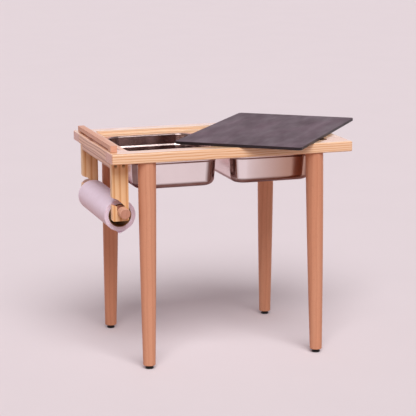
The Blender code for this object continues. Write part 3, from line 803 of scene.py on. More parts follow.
@dataclass(frozen=True)
class Steel:
    """Drawn stainless steel with a satin polish and the haze and scratches of use, with painted
    dark bends, a painted brown reflection and painted shade inside.

    The pairs whose names start with off, and those that end with run, are spans of a part of the
    normal, or of the distance across, over which a share fades in or out.
    """

    colour: Colour = tint(250, 240, 239)
    # Darker colour inside the pan: painted shade.
    inner: Colour = tint(178, 160, 157)
    # Painted brown reflection on the pans' fronts, towards their right ends.
    brown: Colour = tint(174, 124, 94)
    # Painted dark reflection and shade in the bends at the corners, the shoulder and the floor.
    painted_dark_bends: Colour = tint(104, 58, 44)
    # Brownish edge tint of the reflections: a painted brown reflection at grazing angles.
    edge: Colour = (0.78, 0.62, 0.62)
    roughness: Pair = (0.13, 0.22)
    dulling: Pair = (0.3, 0.75)
    haze: Cloud = Cloud(18.0, 4.0, (0.3, 0.8), (0.0, 0.6))
    haze_left: float = 0.9
    lines: Cloud = Cloud(260.0, 3.0, (0.2, 0.8), (-0.02, 0.03), (1.0, 1.0, 14.0))
    scratches: Cloud = Cloud(900.0, 1.0, (0.66, 0.78), (0.0, 0.07), (0.05, 1.0, 1.0),
                             (0.3, 0.5, 0.7))
    # Share and spans of the painted dark bends at the corners, the shoulder and the floor bend.
    full: float = 0.97
    uneven: Pair = (0.85, 1.0)
    right_run: float = 0.26
    left_run: Pair = (-0.76, -0.58)
    floor_run: Pair = (-0.42, -0.12)
    off_sides: Pair = (0.08, 0.22)
    off_rim: Pair = (0.15, 0.45)
    off_floor: Pair = (-0.998, -0.985)
    # Spans and power of the painted brown reflection on the front.
    brown_run: Pair = (-0.081, 0.035)
    brown_power: float = 0.6
    front_run: Pair = (-0.9, -0.4)
    inside_from: Pair = (-0.012, 0.002)
    inside_polish: float = -0.04
    relief: Pair = (0.00006, 0.15)

    def worn(self, nodes: Nodes, space: Socket, haze: Socket, lines: Socket) -> Socket:
        """Roughness: the polish, with haze, scratches and polishing lines.

        Args:
            nodes: nodes of the material.
            space: coordinates from the middle of the pan.
            haze: the haze.
            lines: the polishing lines.

        Returns:
            The roughness.
        """
        hazed = nodes.share(haze, self.dulling, self.roughness)
        marks = nodes.veil(nodes.cloud(space, self.scratches), self.scratches)
        return nodes.sum(nodes.sum(hazed, marks), nodes.veil(lines, self.lines))

    def dark_bend_share(self, nodes: Nodes, normal: dict[str, Socket], turning: float) -> Socket:
        """Share of the painted dark reflection and shade where the sheet bends round a corner, at
        the shoulder or to the floor.

        Args:
            nodes: nodes of the material.
            normal: X, Y and Z of the surface's normal.
            turning: X of the normal from which a corner that turns to the right gets the painted
                dark reflection.

        Returns:
            The share, from 0 to 1.
        """
        to_right = (turning, turning + self.right_run)
        corner = nodes.larger(nodes.share(normal["X"], to_right, (0.0, self.full)),
                              nodes.share(normal["X"], self.left_run, (self.full, 0.0)))
        off_sides = nodes.share(nodes.size(normal["Y"]), self.off_sides)
        off_rim = nodes.share(normal["Z"], self.off_rim, (1.0, 0.0))
        corner = nodes.product(nodes.product(corner, off_sides), off_rim)
        below = nodes.share(normal["Z"], self.floor_run, (self.full, 0.0))
        off_floor = nodes.share(normal["Z"], self.off_floor)
        return nodes.larger(corner, nodes.product(below, off_floor))

    def painted_brown_share(self, nodes: Nodes, across: Socket, depth: Socket, front_brown_reflection: float) -> Socket:
        """Share of the painted brown reflection on the front, which grows to the right by a power
        of the distance.

        Args:
            nodes: nodes of the material.
            across: distance to the right of the middle of the pan.
            depth: Y of the surface's normal.
            front_brown_reflection: share at the right end.

        Returns:
            The share, from 0 to 1.
        """
        run = nodes.reckon("POWER", nodes.share(across, self.brown_run), self.brown_power)
        in_front = nodes.share(depth, self.front_run, (1.0, 0.0))
        return nodes.product(nodes.product(run, front_brown_reflection), in_front)

    def material(self, name: str, middle: np.ndarray, front_brown_reflection: float, turning: float) -> Material:
        """Material of a pan, with painted dark bends and a painted brown reflection outside, and
        painted shade inside.

        A face belongs to the inside where its normal points towards the middle of the pan.

        Args:
            name: name of the material.
            middle: middle of the pan.
            front_brown_reflection: share of the painted brown reflection at the front, towards the
                right end.
            turning: X of the normal from which a corner that turns to the right gets the painted
                dark reflection.

        Returns:
            The material.
        """
        nodes = Nodes(name)
        space = nodes.place(middle)
        facing = nodes.normal()
        normal = nodes.split(facing)
        haze, lines = nodes.cloud(space, self.haze), nodes.cloud(space, self.lines)
        dimmed = darkened(self.colour, self.haze_left)
        sheet = nodes.blend(nodes.veil(haze, self.haze), self.colour, dimmed)
        # Painted brown reflection on the front, growing to the right.
        brown = self.painted_brown_share(nodes, nodes.split(space)["X"], normal["Y"], front_brown_reflection)
        sheet = nodes.blend(brown, sheet, self.brown)
        uneven = nodes.share(haze, self.dulling, self.uneven)
        # Painted dark reflection and shade in the bends, a little uneven.
        painted_dark_bends = nodes.product(self.dark_bend_share(nodes, normal, turning), uneven)
        away = nodes.add("VectorMath", {"operation": "DOT_PRODUCT"}, {0: space, 1: facing})
        inside = nodes.share(away.outputs["Value"], self.inside_from, (1.0, 0.0))
        # Painted shade inside: inner faces take the darker inner colour, and the painted dark bends
        # stay outside.
        sheet = nodes.blend(inside, nodes.blend(painted_dark_bends, sheet, self.painted_dark_bends), self.inner)
        polished = nodes.product(inside, self.inside_polish)
        worn = nodes.sum(self.worn(nodes, space, haze, lines), polished)
        nodes.shade(Base_Color=sheet, Metallic=1.0, Roughness=worn, Specular_Tint=self.edge)
        nodes.bump(nodes.sum(lines, haze), self.relief)
        return nodes.material


@dataclass(frozen=True)
class Blackboard:
    """Matt black board, wiped, with faint chalk left in long smears; its top is lighter and more
    plum than its near-black sides, partly chalk dust and partly painted sheen.
    """

    # Lighter plum top: partly chalk dust, partly painted sheen of a pale lilac backdrop at a low
    # view; the sides stay near black.
    colour: Colour = tint(67, 47, 57)
    side: Colour = tint(24, 16, 18)
    chalk: Colour = tint(152, 119, 137)
    black: Colour = tint(20, 17, 19)
    sheen: Colour = (1.0, 0.84, 0.92)
    gloss: float = 0.42
    smears: Cloud = Cloud(5.5, 5.0, (0.46, 0.78), (0.0, 0.24), (1.0, 3.2, 1.0))
    streaks: Cloud = Cloud(160.0, 3.0, (0.5, 0.8), (0.0, 0.11), (0.08, 1.0, 1.0), (0.0, 0.0, 0.35))
    specks: Cloud = Cloud(2600.0, 1.0, to=(0.12, 0.0))
    wiping: Cloud = Cloud(9.0, 3.0, to=(0.42, 0.58), stretch=(1.0, 3.2, 1.0))
    face_from: Pair = (0.25, 0.85)
    relief: Pair = (0.00008, 0.5)

    def material(self, name: str, turn: float) -> Material:
        """Material of a board whose smears run along its length.

        Args:
            name: name of the material.
            turn: degrees by which the board is turned about Z.

        Returns:
            The material.
        """
        nodes = Nodes(name)
        space = nodes.place(turn=-turn)
        smears = nodes.veil(nodes.cloud(space, self.smears), self.smears)
        streaks = nodes.veil(nodes.cloud(space, self.streaks), self.streaks)
        colour = nodes.blend(nodes.sum(smears, streaks), self.colour, self.chalk)
        # The top face takes the lighter colour, partly painted sheen.
        top_with_painted_sheen = nodes.share(nodes.split(nodes.normal())["Z"], self.face_from)
        colour = nodes.blend(top_with_painted_sheen, self.side, colour)
        specks = nodes.cloud(space, self.specks)
        colour = nodes.blend(nodes.veil(specks, self.specks), colour, self.black)
        dull = nodes.veil(nodes.cloud(space, self.wiping), self.wiping)
        nodes.shade(Base_Color=colour, Roughness=dull, Specular_IOR_Level=self.gloss,
                    Specular_Tint=self.sheen)
        nodes.bump(specks, self.relief)
        return nodes.material


@dataclass(frozen=True)
class Paper:
    """Uncoated drawing paper, wound, with its layers showing at the ends of the roll."""

    colour: Colour = tint(248, 234, 251)
    shade: Colour = tint(220, 202, 214)
    edge: Colour = tint(190, 164, 182)
    layer: float = 0.0007
    layer_span: Pair = (0.1, 0.9)
    layer_depth: float = 0.62
    mottle: Cloud = Cloud(45.0, 4.0, (0.35, 0.75), (0.0, 0.22))
    fibres: Cloud = Cloud(2200.0, 2.0, to=(0.05, 0.0))
    end_from: Pair = (0.6, 0.9)
    roughness: Pair = (0.78, 0.92)
    gloss: float = 0.2
    relief: Pair = (0.00015, 0.5)

    def material(self, name: str, axis: np.ndarray) -> Material:
        """Material of wound paper: rings about an axis along Y on the ends, fibres and soft mottle.

        Args:
            name: name of the material.
            axis: a point on the roll's axis.

        Returns:
            The material.
        """
        nodes = Nodes(name)
        space = nodes.place(axis)
        settings = {"wave_type": "RINGS", "rings_direction": "Y", "wave_profile": "SIN"}
        inputs = {"Vector": space, "Scale": WAVE_SCALE / self.layer, "Distortion": 1.2,
                  "Detail": 1.0, "Detail Scale": 0.08}
        rings = nodes.add("TexWave", settings, inputs).outputs["Fac"]
        end = nodes.share(nodes.size(nodes.split(nodes.normal())["Y"]), self.end_from)
        mottle = nodes.veil(nodes.cloud(space, self.mottle), self.mottle)
        sheet = nodes.blend(mottle, self.colour, self.shade)
        layers = nodes.share(rings, self.layer_span, (0.0, self.layer_depth))
        colour = nodes.blend(end, sheet, nodes.blend(layers, self.colour, self.edge))
        fibre = nodes.cloud(space, self.fibres)
        colour = nodes.blend(nodes.veil(fibre, self.fibres), colour, self.edge)
        dull = nodes.share(fibre, DULLING, self.roughness)
        nodes.shade(Base_Color=colour, Roughness=dull, Specular_IOR_Level=self.gloss)
        nodes.bump(nodes.sum(fibre, nodes.product(rings, end)), self.relief)
        return nodes.material


@dataclass(frozen=True)
class Card:
    """Wound brown card with the slanting seams of its strips."""

    colour: Colour = tint(150, 112, 78)
    seam: Colour = tint(96, 66, 42)
    slant: Triple = (0.0, 0.0, 0.6)
    strips: float = 4.2
    unevenness: float = 0.4
    seam_share: float = 0.04
    fibres: Cloud = Cloud(700.0, 4.0, (0.3, 0.75), (0.0, 0.45))
    roughness: Pair = (0.8, 0.95)
    gloss: float = 0.2
    relief: Pair = (0.0002, 0.5)

    def material(self, name: str) -> Material:
        """Material of the card tube.

        Args:
            name: name of the material.

        Returns:
            The material.
        """
        nodes = Nodes(name)
        space = nodes.place()
        settings = {"wave_type": "BANDS", "bands_direction": "Y", "wave_profile": "SAW"}
        inputs = {"Vector": nodes.mapped(space, turn=self.slant), "Scale": self.strips,
                  "Distortion": self.unevenness}
        strips = nodes.add("TexWave", settings, inputs).outputs["Fac"]
        stops = [(0.0, self.seam), (self.seam_share, self.colour),
                 (1.0 - self.seam_share, self.colour), (1.0, self.seam)]
        fibre = nodes.cloud(space, self.fibres)
        lines = nodes.veil(fibre, self.fibres)
        colour = nodes.blend(lines, nodes.ramp(strips, stops), self.seam)
        dull = nodes.share(fibre, DULLING, self.roughness)
        nodes.shade(Base_Color=colour, Roughness=dull, Specular_IOR_Level=self.gloss)
        nodes.bump(fibre, self.relief)
        return nodes.material


@dataclass(frozen=True)
class Zinc:
    """Bright zinc plating with its cloudy crystals."""

    colour: Colour = tint(190, 190, 184)
    dull: Colour = tint(150, 148, 138)
    crystals: Cloud = Cloud(320.0, 3.0, to=(0.0, 0.5))
    dulling: Pair = (0.25, 0.75)
    roughness: Pair = (0.28, 0.46)
    relief: Pair = (0.00005, 0.4)

    def material(self, name: str) -> Material:
        """Material of screws, bolts, studs and inserts.

        Args:
            name: name of the material.

        Returns:
            The material.
        """
        nodes = Nodes(name)
        cloud = nodes.cloud(nodes.place(), self.crystals)
        colour = nodes.blend(nodes.veil(cloud, self.crystals), self.colour, self.dull)
        rough = nodes.share(cloud, self.dulling, self.roughness)
        nodes.shade(Base_Color=colour, Metallic=1.0, Roughness=rough)
        nodes.bump(cloud, self.relief)
        return nodes.material


@dataclass(frozen=True)
class BlackMoulding:
    """Black moulded feet with a fine grain, a little dusty where they meet the floor."""

    colour: Colour = tint(30, 28, 29)
    dust: Colour = tint(112, 102, 98)
    dust_height: float = 0.0035
    dust_share: float = 0.30
    grain: Cloud = Cloud(1800.0, 2.0)
    patches: Cloud = Cloud(240.0, 2.0)
    roughness: Pair = (0.42, 0.62)
    gloss: float = 0.4
    relief: Pair = (0.00012, 0.5)

    def material(self, name: str) -> Material:
        """Material of the feet.

        Args:
            name: name of the material.

        Returns:
            The material.
        """
        nodes = Nodes(name)
        space = nodes.place()
        grain = nodes.cloud(space, self.grain)
        height = nodes.split(space)["Z"]
        low = nodes.share(height, (0.0, self.dust_height), (self.dust_share, 0.0))
        dust = nodes.product(low, nodes.cloud(space, self.patches))
        colour = nodes.blend(dust, self.colour, self.dust)
        dull = nodes.share(grain, DULLING, self.roughness)
        nodes.shade(Base_Color=colour, Roughness=dull, Specular_IOR_Level=self.gloss)
        nodes.bump(grain, self.relief)
        return nodes.material


PINE = Wood(early=tint(246, 211, 178), late=tint(214, 150, 96), warm=tint(248, 230, 208),
            ring=0.0066, wander=0.0030, contrast=1.0, fibre=0.08, fleck=0.05,
            roughness=(0.38, 0.54), gloss=0.3, coat=1.0, end=tint(222, 166, 146))
# Darker, redder copy of the pine, with less coat, for the left rail and the cleat: painted shade
# for their faces, which lie out of the light.
PINE_SHADED = replace(PINE, early=tint(243, 200, 170), late=tint(176, 109, 78), ring=0.0088, coat=0.4)
PINE_LIGHT = replace(PINE, early=tint(247, 221, 197), late=tint(218, 170, 128))
PINE_BROAD = replace(PINE, early=tint(245, 210, 169), late=tint(210, 148, 90), ring=0.0175,
                     wander=0.002, contrast=0.85, coat=0.1)
BEECH = Wood(early=tint(214, 156, 127), late=tint(186, 124, 95), warm=tint(240, 216, 202),
             ring=0.0120, wander=0.002, contrast=0.35, fibre=0.08, fleck=0.25,
             roughness=(0.43, 0.59), gloss=0.3, coat=0.0, end=tint(240, 224, 216))
BEECH_PALE = replace(BEECH, early=tint(223, 177, 154), late=tint(194, 142, 116),
                     end=tint(226, 212, 212))
BEECH_BAR = replace(BEECH, early=tint(232, 187, 164), late=tint(204, 152, 126),
                    end=tint(250, 240, 236))
STEEL = Steel()
BLACKBOARD = Blackboard()
PAPER = Paper()
CARD = Card()
ZINC = Zinc()
BLACK = BlackMoulding()


def dress(piece: Piece, material: Material, body: str, slot: str, *nodes: str) -> Piece:
    """Give a piece its finish and tell the frame what it rides on and stands for.

    Args:
        piece: the new piece.
        material: its finish.
        body: CAD body that it moves with.
        slot: not used.
        nodes: CAD nodes that it stands for.

    Returns:
        The piece.
    """
    piece.data.materials.clear()
    piece.data.materials.append(material)
    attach(piece, body)
    if nodes:
        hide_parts(*nodes)
    return piece


# Sub-assemblies

@dataclass
class TopFrame:
    """Four pine rails with the stepped recess for the lid and the pans."""

    half_length: float = 0.335
    half_width: float = 0.222
    edge_round: float = 0.004
    ease: float = 0.0006
    recess_half: float = 0.282
    recess_round: float = 0.012
    recess_floor: float = 0.5775
    rebate_half: float = 0.281
    rebate_floor: float = 0.5672
    long_edges: Triple = (0.044, 0.0585, 0.0685)
    short_edges: Triple = (0.053, 0.054, 0.0735)
    short_half: float = 0.1532
    edge_steps: int = 5
    bend_steps: int = 10
    stations: int = 6

    def section(self, edges: tuple[np.ndarray, ...], floors: tuple[np.ndarray, ...],
                shrink: np.ndarray) -> np.ndarray:
        """Sections of a rail at many stations, as (distance from the outer face, height) points.

        From the outer lower edge the section runs up the outer face, over the rounded edge, along
        the top and down the two steps to the inner face. At the ends of a long rail it shrinks as
        the end edge rounds over.

        Args:
            edges: distances of the lid's step, the pans' step and the inner face.
            floors: heights below those first two steps.
            shrink: how far the section is drawn in at each station.

        Returns:
            Array of stations by points by two.
        """
        lid_step, pan_step, inner = edges
        top, bottom = TOP - shrink, UNDERSIDE + shrink
        lid_floor, pan_floor = (np.minimum(floor, top) for floor in floors)
        radius = self.edge_round - shrink
        outer = shrink + radius
        lid_ease = np.minimum(self.ease, top - lid_floor)
        room = np.minimum(lid_floor - pan_floor, pan_step - lid_step)
        pan_ease = np.clip(room, 0.0, self.ease)
        ease, none = np.full_like(top, self.ease), np.zeros_like(top)
        steps = self.edge_steps
        return np.concatenate([
            quarters(outer, bottom + radius, radius, 270.0, steps),
            quarters(outer, top - radius, radius, 180.0, steps),
            quarters(lid_step - lid_ease, top - lid_ease, lid_ease, 90.0, steps),
            quarters(lid_step, lid_floor, none, 90.0, 1),
            quarters(pan_step - pan_ease, lid_floor - pan_ease, pan_ease, 90.0, steps),
            quarters(pan_step, pan_floor, none, 90.0, 1),
            quarters(inner - ease, pan_floor - ease, ease, 90.0, steps),
            quarters(inner - ease, bottom + ease, ease, 0.0, steps),
        ], axis=1)

    def long_rail(self, side: Side) -> Piece:
        """Front or back rail: its section is carried along X.

        The edge of each step follows the quarter circle in the recess corners, and two stations at
        the recess end, with and without the step, make the end wall.

        Args:
            side: front or back.

        Returns:
            The rail.
        """
        bend = np.sin(np.linspace(0.0, QUARTER, self.bend_steps))
        straight = np.linspace(0.0, self.rebate_half - self.recess_round, self.stations)
        curved = self.recess_half - self.recess_round + self.recess_round * bend
        over_edge = self.half_length - self.edge_round + self.edge_round * bend
        half = np.concatenate([straight, curved, [self.recess_half], over_edge])
        has_recess = np.arange(len(half)) < len(straight) + len(curved)
        place, is_open = mirrored(half, opposite=True), mirrored(has_recess)
        reach = np.abs(place)
        inner = np.full_like(place, self.long_edges[2])
        lid_step = self.long_edges[0] + rounding(reach, self.recess_half, self.recess_round)
        pan_step = self.long_edges[1] + rounding(reach, self.rebate_half, self.recess_round)
        pan_step = np.minimum(pan_step, inner)
        lid_floor = np.where(is_open, self.recess_floor, TOP)
        pan_floor = np.where(is_open & (pan_step < inner), self.rebate_floor, lid_floor)
        shrink = rounding(reach, self.half_length, self.edge_round)
        cut = self.section((lid_step, pan_step, inner), (lid_floor, pan_floor), shrink)
        cut[..., 0] = side.value * (self.half_width - cut[..., 0])
        return surface(f"pine_{side.tag}_rail", stacked(cut, place, Axis.X) + MIDDLE)

    def short_rail(self, end: End) -> Piece:
        """Left or right rail, butted between the long ones: one section carried along Y.

        Args:
            end: left or right.

        Returns:
            The rail.
        """
        place = np.linspace(-self.short_half, self.short_half, self.edge_steps)
        edges = tuple(np.full_like(place, edge) for edge in self.short_edges)
        levels = (self.recess_floor, self.rebate_floor)
        floors = tuple(np.full_like(place, level) for level in levels)
        cut = self.section(edges, floors, np.zeros_like(place))
        cut[..., 0] = end.value * (self.half_length - cut[..., 0])
        return surface(f"pine_{end.tag}_rail", stacked(cut, place, Axis.Y) + MIDDLE)

    def build(self) -> list[Piece]:
        """Make the four rails, each from its own board.

        Returns:
            The rails.
        """
        boards = {
            "front": PINE.material("pine_front", Grain.LENGTHWAYS, (TOP + 0.055, -0.215), 0.35),
            "back": PINE_LIGHT.material("pine_back", Grain.LENGTHWAYS, (TOP - 0.105, 0.200), 1.70),
            # The left rail's darker board is painted shade.
            "left": PINE_SHADED.material("pine_left", Grain.CROSSWAYS, (TOP + 0.070, -0.400), 2.90),
            "right": PINE.material("pine_right", Grain.CROSSWAYS, (TOP - 0.090, 0.255), 4.20),
        }
        rails = [self.long_rail(side) for side in Side] + [self.short_rail(end) for end in End]
        return [dress(rail, wood, "table", "pine", f"{tag}_rail")
                for rail, (tag, wood) in zip(rails, boards.items())]


@dataclass
class SteelPans:
    """Two drawn pans that hang by their rims, the right one with more painted brown reflection on
    its front.
    """

    rim_x: float = 0.265
    rim_y: float = 0.325
    depth: float = 0.100
    sheet: float = 0.0008
    flange: float = 0.011
    lip: float = 0.0045
    lip_bend: float = 0.002
    mouth_bend: float = 0.004
    rim_corner: float = 0.028
    body_corner: float = 0.040
    floor_bend: float = 0.018
    draft: float = 3.5
    shoulder_drop: float = 0.0275
    shoulder_rise: float = 0.0055
    shoulder_step: float = 0.0028
    rim_top: float = 0.572
    lip_steps: int = 6
    mouth_steps: int = 8
    widening: int = 4
    shoulder_steps: int = 7
    floor_steps: int = 12
    corner_steps: int = 14
    places: tuple[tuple[str, float], ...] = (("pan_left", -0.138), ("pan_right", 0.138))
    # Share of the painted brown reflection on each pan's front, and X of the normal from which its
    # right-turning corners get the painted dark reflection.
    front_brown_reflection: Pair = (0.05, 0.80)
    turning: Pair = (0.06, 0.28)

    def profile(self) -> np.ndarray:
        """Upper and inner face from the lip to the floor.

        The lip, the mouth and the floor bend are arcs, the shoulder is a straight slope, and the
        wall between them leans by the draft. The corner radius grows over the mouth's first points,
        and shrinks in the floor bend by as much as the wall goes in.

        Returns:
            Rows of inset from the rim, height and corner radius.
        """
        lean = math.tan(math.radians(self.draft))
        lip = arc((self.lip_bend, -self.lip_bend), self.lip_bend, 180, 90, self.lip_steps)
        lip = np.concatenate([[[0.0, -self.lip]], lip])
        mouth = arc((self.flange - self.mouth_bend, -self.mouth_bend), self.mouth_bend, 90,
                    self.draft, self.mouth_steps)
        inset, level = mouth[-1]
        share = np.linspace(0.0, 1.0, self.shoulder_steps)
        inset = inset + lean * (self.shoulder_drop + level) + self.shoulder_step * share
        shoulder = np.column_stack([inset, -self.shoulder_drop - self.shoulder_rise * share])
        turn = self.sheet - self.depth + self.floor_bend
        wall = shoulder[-1, 0] + lean * (shoulder[-1, 1] - turn)
        bend = arc((wall + self.floor_bend, turn), self.floor_bend, 180, 270, self.floor_steps)
        path = np.concatenate([lip, mouth, shoulder, bend])
        corner = np.full(len(path), self.body_corner)
        corner[:len(lip)] = self.rim_corner
        growing = np.linspace(self.rim_corner, self.body_corner, self.widening + 1)
        corner[len(lip):len(lip) + self.widening] = growing[1:]
        corner[-len(bend):] -= bend[:, 0] - wall
        return np.column_stack([path, corner])

    def pan(self, name: str, x: float) -> Piece:
        """Pan as a loft of rounded rectangles down its inner face and back up its outer face.

        The outer face lies one sheet thickness along the normal of the profile, and the corner
        radius grows by as much where the wall goes outwards. One polygon closes each floor.

        Args:
            name: name of the pan.
            x: place of its middle.

        Returns:
            The pan.
        """
        inner = self.profile()
        along = unit(np.gradient(inner[:, :2], axis=0))
        away = np.column_stack([along[:, 1], -along[:, 0]]) * self.sheet
        outer = inner.copy()
        outer[:, :2] += away
        outer[:, 2] -= away[:, 0]
        inset, height, corner = np.concatenate([inner, outer[::-1]]).T
        rings = rounded_rectangles(self.rim_x / 2 - inset, self.rim_y / 2 - inset, corner,
                                   self.corner_steps)
        points = stacked(rings, height, Axis.Z) + MIDDLE + (x, 0.0, self.rim_top)
        around, last = points.shape[1], len(inner) - 1
        quads = grid_quads(len(points), around, True)
        quads = quads[quads[:, 0] // around != last].tolist()
        floor = list(range(last * around, (last + 1) * around))
        under = [number + around for number in reversed(floor)]
        return enclosed(name, points, quads + [floor, under])

    def build(self) -> list[Piece]:
        """Make the two pans.

        Returns:
            The pans.
        """
        pieces = []
        for (node, x), front_brown_reflection, turning in zip(self.places, self.front_brown_reflection, self.turning):
            middle = MIDDLE + (x, 0.0, self.rim_top - self.depth / 2)
            finish = STEEL.material(f"satin_{node}", middle, front_brown_reflection, turning)
            pieces.append(dress(self.pan(f"steel_{node}", x), finish, node, "pan_steel", node))
        return pieces


@dataclass
class Lid:
    """Black board with eased edges, laid askew on the frame."""

    length: float = 0.560
    width: float = 0.352
    thickness: float = 0.008
    corner: float = 0.010
    ease: float = 0.0008
    at: Triple = (0.175, 0.007, 0.5863)
    turn: float = 53.0
    edge_steps: int = 5
    corner_steps: int = 12

    def build(self) -> list[Piece]:
        """Stack rounded rectangles that are drawn in near both faces, then turn and place them.

        Returns:
            The lid.
        """
        level, drawn = eased_levels(0.0, self.thickness, self.ease, self.edge_steps)
        rings = rounded_rectangles(self.length / 2 - drawn, self.width / 2 - drawn,
                                   self.corner - drawn, self.corner_steps)
        turn = np.array(Matrix.Rotation(math.radians(self.turn), 2))
        points = stacked(rings @ turn.T, level, Axis.Z) + MIDDLE + self.at
        board = BLACKBOARD.material("black_board", self.turn)
        return [dress(surface("black_lid", points), board, "lid", "black_board", "lid")]


@dataclass
class Legs:
    """Four tapered beech legs that lean outwards, on black screw feet."""

    top_d: float = 0.048
    foot_d: float = 0.033
    taper: float = 1.6
    at_x: float = 0.235
    at_y: float = 0.194
    lean_x: float = 0.4
    lean_y: float = 1.5
    high: float = 0.5577
    low: float = 0.0093
    spare: float = 0.006
    top_ease: float = 0.0008
    foot_ease: float = 0.0022
    ease_steps: int = 6
    stations: int = 30
    leg_steps: int = 56
    socket: float = 0.0043
    socket_floor: float = 0.003
    neck: float = 0.0075
    neck_high: float = 0.009
    neck_ease: float = 0.0005
    flare: float = 0.0011
    flare_high: float = 0.0058
    flange: float = 0.0098
    flange_high: float = 0.0045
    roll: float = 0.0012
    foot_steps: int = 40
    pith: Pair = (0.07, -0.02)
    start: float = 1.3

    def leg(self, corner: Corner) -> Piece:
        """Leg as level circles on a leaning axis.

        The radius shrinks from the top by a power of the share of the length, and both end edges
        are eased by a quarter circle.

        Args:
            corner: where the leg stands.

        Returns:
            The leg.
        """
        angle = np.linspace(0.0, QUARTER, self.ease_steps)
        top = self.high - self.top_ease * (1.0 - np.cos(angle))
        foot = self.low + self.foot_ease * (1.0 - np.cos(angle[::-1]))
        between = np.linspace(top[-1], foot[0], self.stations)[1:-1]
        height = np.concatenate([top, between, foot])
        drawn = np.concatenate([self.top_ease * (1.0 - np.sin(angle)), np.zeros_like(between),
                                self.foot_ease * (1.0 - np.sin(angle[::-1]))])
        share = (self.spare + self.high - height) / (self.high - self.low + 2.0 * self.spare)
        radius = self.top_d / 2 - (self.top_d - self.foot_d) / 2 * share ** self.taper - drawn
        points = turned(np.column_stack([radius, height]), self.leg_steps)
        sign_x, sign_y = corner.value
        down = (self.high - height)[:, None]
        points[..., 0] += sign_x * (self.at_x + math.tan(math.radians(self.lean_x)) * down)
        points[..., 1] += sign_y * (self.at_y + math.tan(math.radians(self.lean_y)) * down)
        return surface(f"beech_leg_{corner.tag}", points + MIDDLE)

    def foot(self, corner: Corner) -> Piece:
        """Foot turned about its stud: socket, neck, flange with a rolled edge, and a flat sole.

        Args:
            corner: where the foot stands.

        Returns:
            The foot.
        """
        shoulder = (self.neck - self.neck_ease, self.neck_high - self.neck_ease)
        profile = np.concatenate([
            [[0.0, self.socket_floor], [self.socket, self.socket_floor]],
            [[self.socket, self.neck_high]], arc(shoulder, self.neck_ease, 90, 0, 4),
            arc((self.neck + self.flare, self.flare_high), self.flare, 180, 250, 5),
            [[self.flange, self.flange_high]],
            arc((self.flange, self.flange_high - self.roll), self.roll, 85, 0, 6),
            arc((self.flange, self.roll), self.roll, 0, -90, 6), [[0.0, 0.0]],
        ])
        low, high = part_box(f"foot_{corner.tag}")
        middle = np.array([(low.x + high.x) / 2, (low.y + high.y) / 2, 0.0])
        points = turned(profile, self.foot_steps) + middle
        return surface(f"black_foot_{corner.tag}", points, caps=False)

    def build(self) -> list[Piece]:
        """Make each leg from its own blank, and its foot.

        Returns:
            Legs and feet.
        """
        black = BLACK.material("black_moulding")
        pieces = []
        for number, corner in enumerate(Corner):
            tag, (sign_x, sign_y) = corner.tag, corner.value
            aside = self.pith[0] * (-1) ** number
            pith = (sign_x * self.at_x + MIDDLE[0] + aside, sign_y * self.at_y + self.pith[1])
            wood = BEECH.material(f"beech_leg_{tag}", Grain.UPRIGHT, pith, self.start * number)
            pieces.append(dress(self.leg(corner), wood, "table", "beech", f"leg_{tag}"))
            foot = self.foot(corner)
            pieces.append(dress(foot, black, f"screw_foot_{tag}", "black_foot", f"foot_{tag}"))
        return pieces


@dataclass
class PaperBar:
    """Beech bar over the left end, raised between its ends so that paper slides under it."""

    width: float = 0.018
    height: float = 0.017
    half_length: float = 0.185
    foot: float = 0.027
    slot: float = 0.0055
    at_x: float = -0.321
    base: float = 0.5863
    ease: float = 0.0009
    edge_steps: int = 5
    pith: Pair = (-0.06, 0.02)
    start: float = 3.1

    def build(self) -> list[Piece]:
        """Carry an eased rectangle along Y.

        Two stations at each end of the slot differ in height, and the rectangle is drawn in at both
        ends of the bar by a quarter circle.

        Returns:
            The bar.
        """
        steps = self.edge_steps
        bend = np.sin(np.linspace(0.0, QUARTER, steps))
        inner = self.half_length - self.foot
        over_edge = self.half_length - self.ease + self.ease * bend
        half = np.concatenate([np.linspace(0.0, inner, steps), [inner], over_edge])
        raised = mirrored(np.arange(len(half)) < steps)
        place = mirrored(half, opposite=True)
        drawn = rounding(np.abs(place), self.half_length, self.ease)
        low, high = np.where(raised, self.slot, 0.0) + drawn, self.height - drawn
        rings = rounded_rectangles(self.width / 2 - drawn, (high - low) / 2,
                                   np.full_like(place, self.ease), steps)
        rings[..., 0] += self.at_x
        rings[..., 1] += self.base + (low + high)[:, None] / 2
        bar = surface("beech_paper_bar", stacked(rings, place, Axis.Y) + MIDDLE)
        pith = (self.base + self.pith[0], self.at_x + MIDDLE[0] + self.pith[1])
        wood = BEECH_BAR.material("beech_bar", Grain.CROSSWAYS, pith, self.start)
        return [dress(bar, wood, "table", "beech", "paper_bar")]


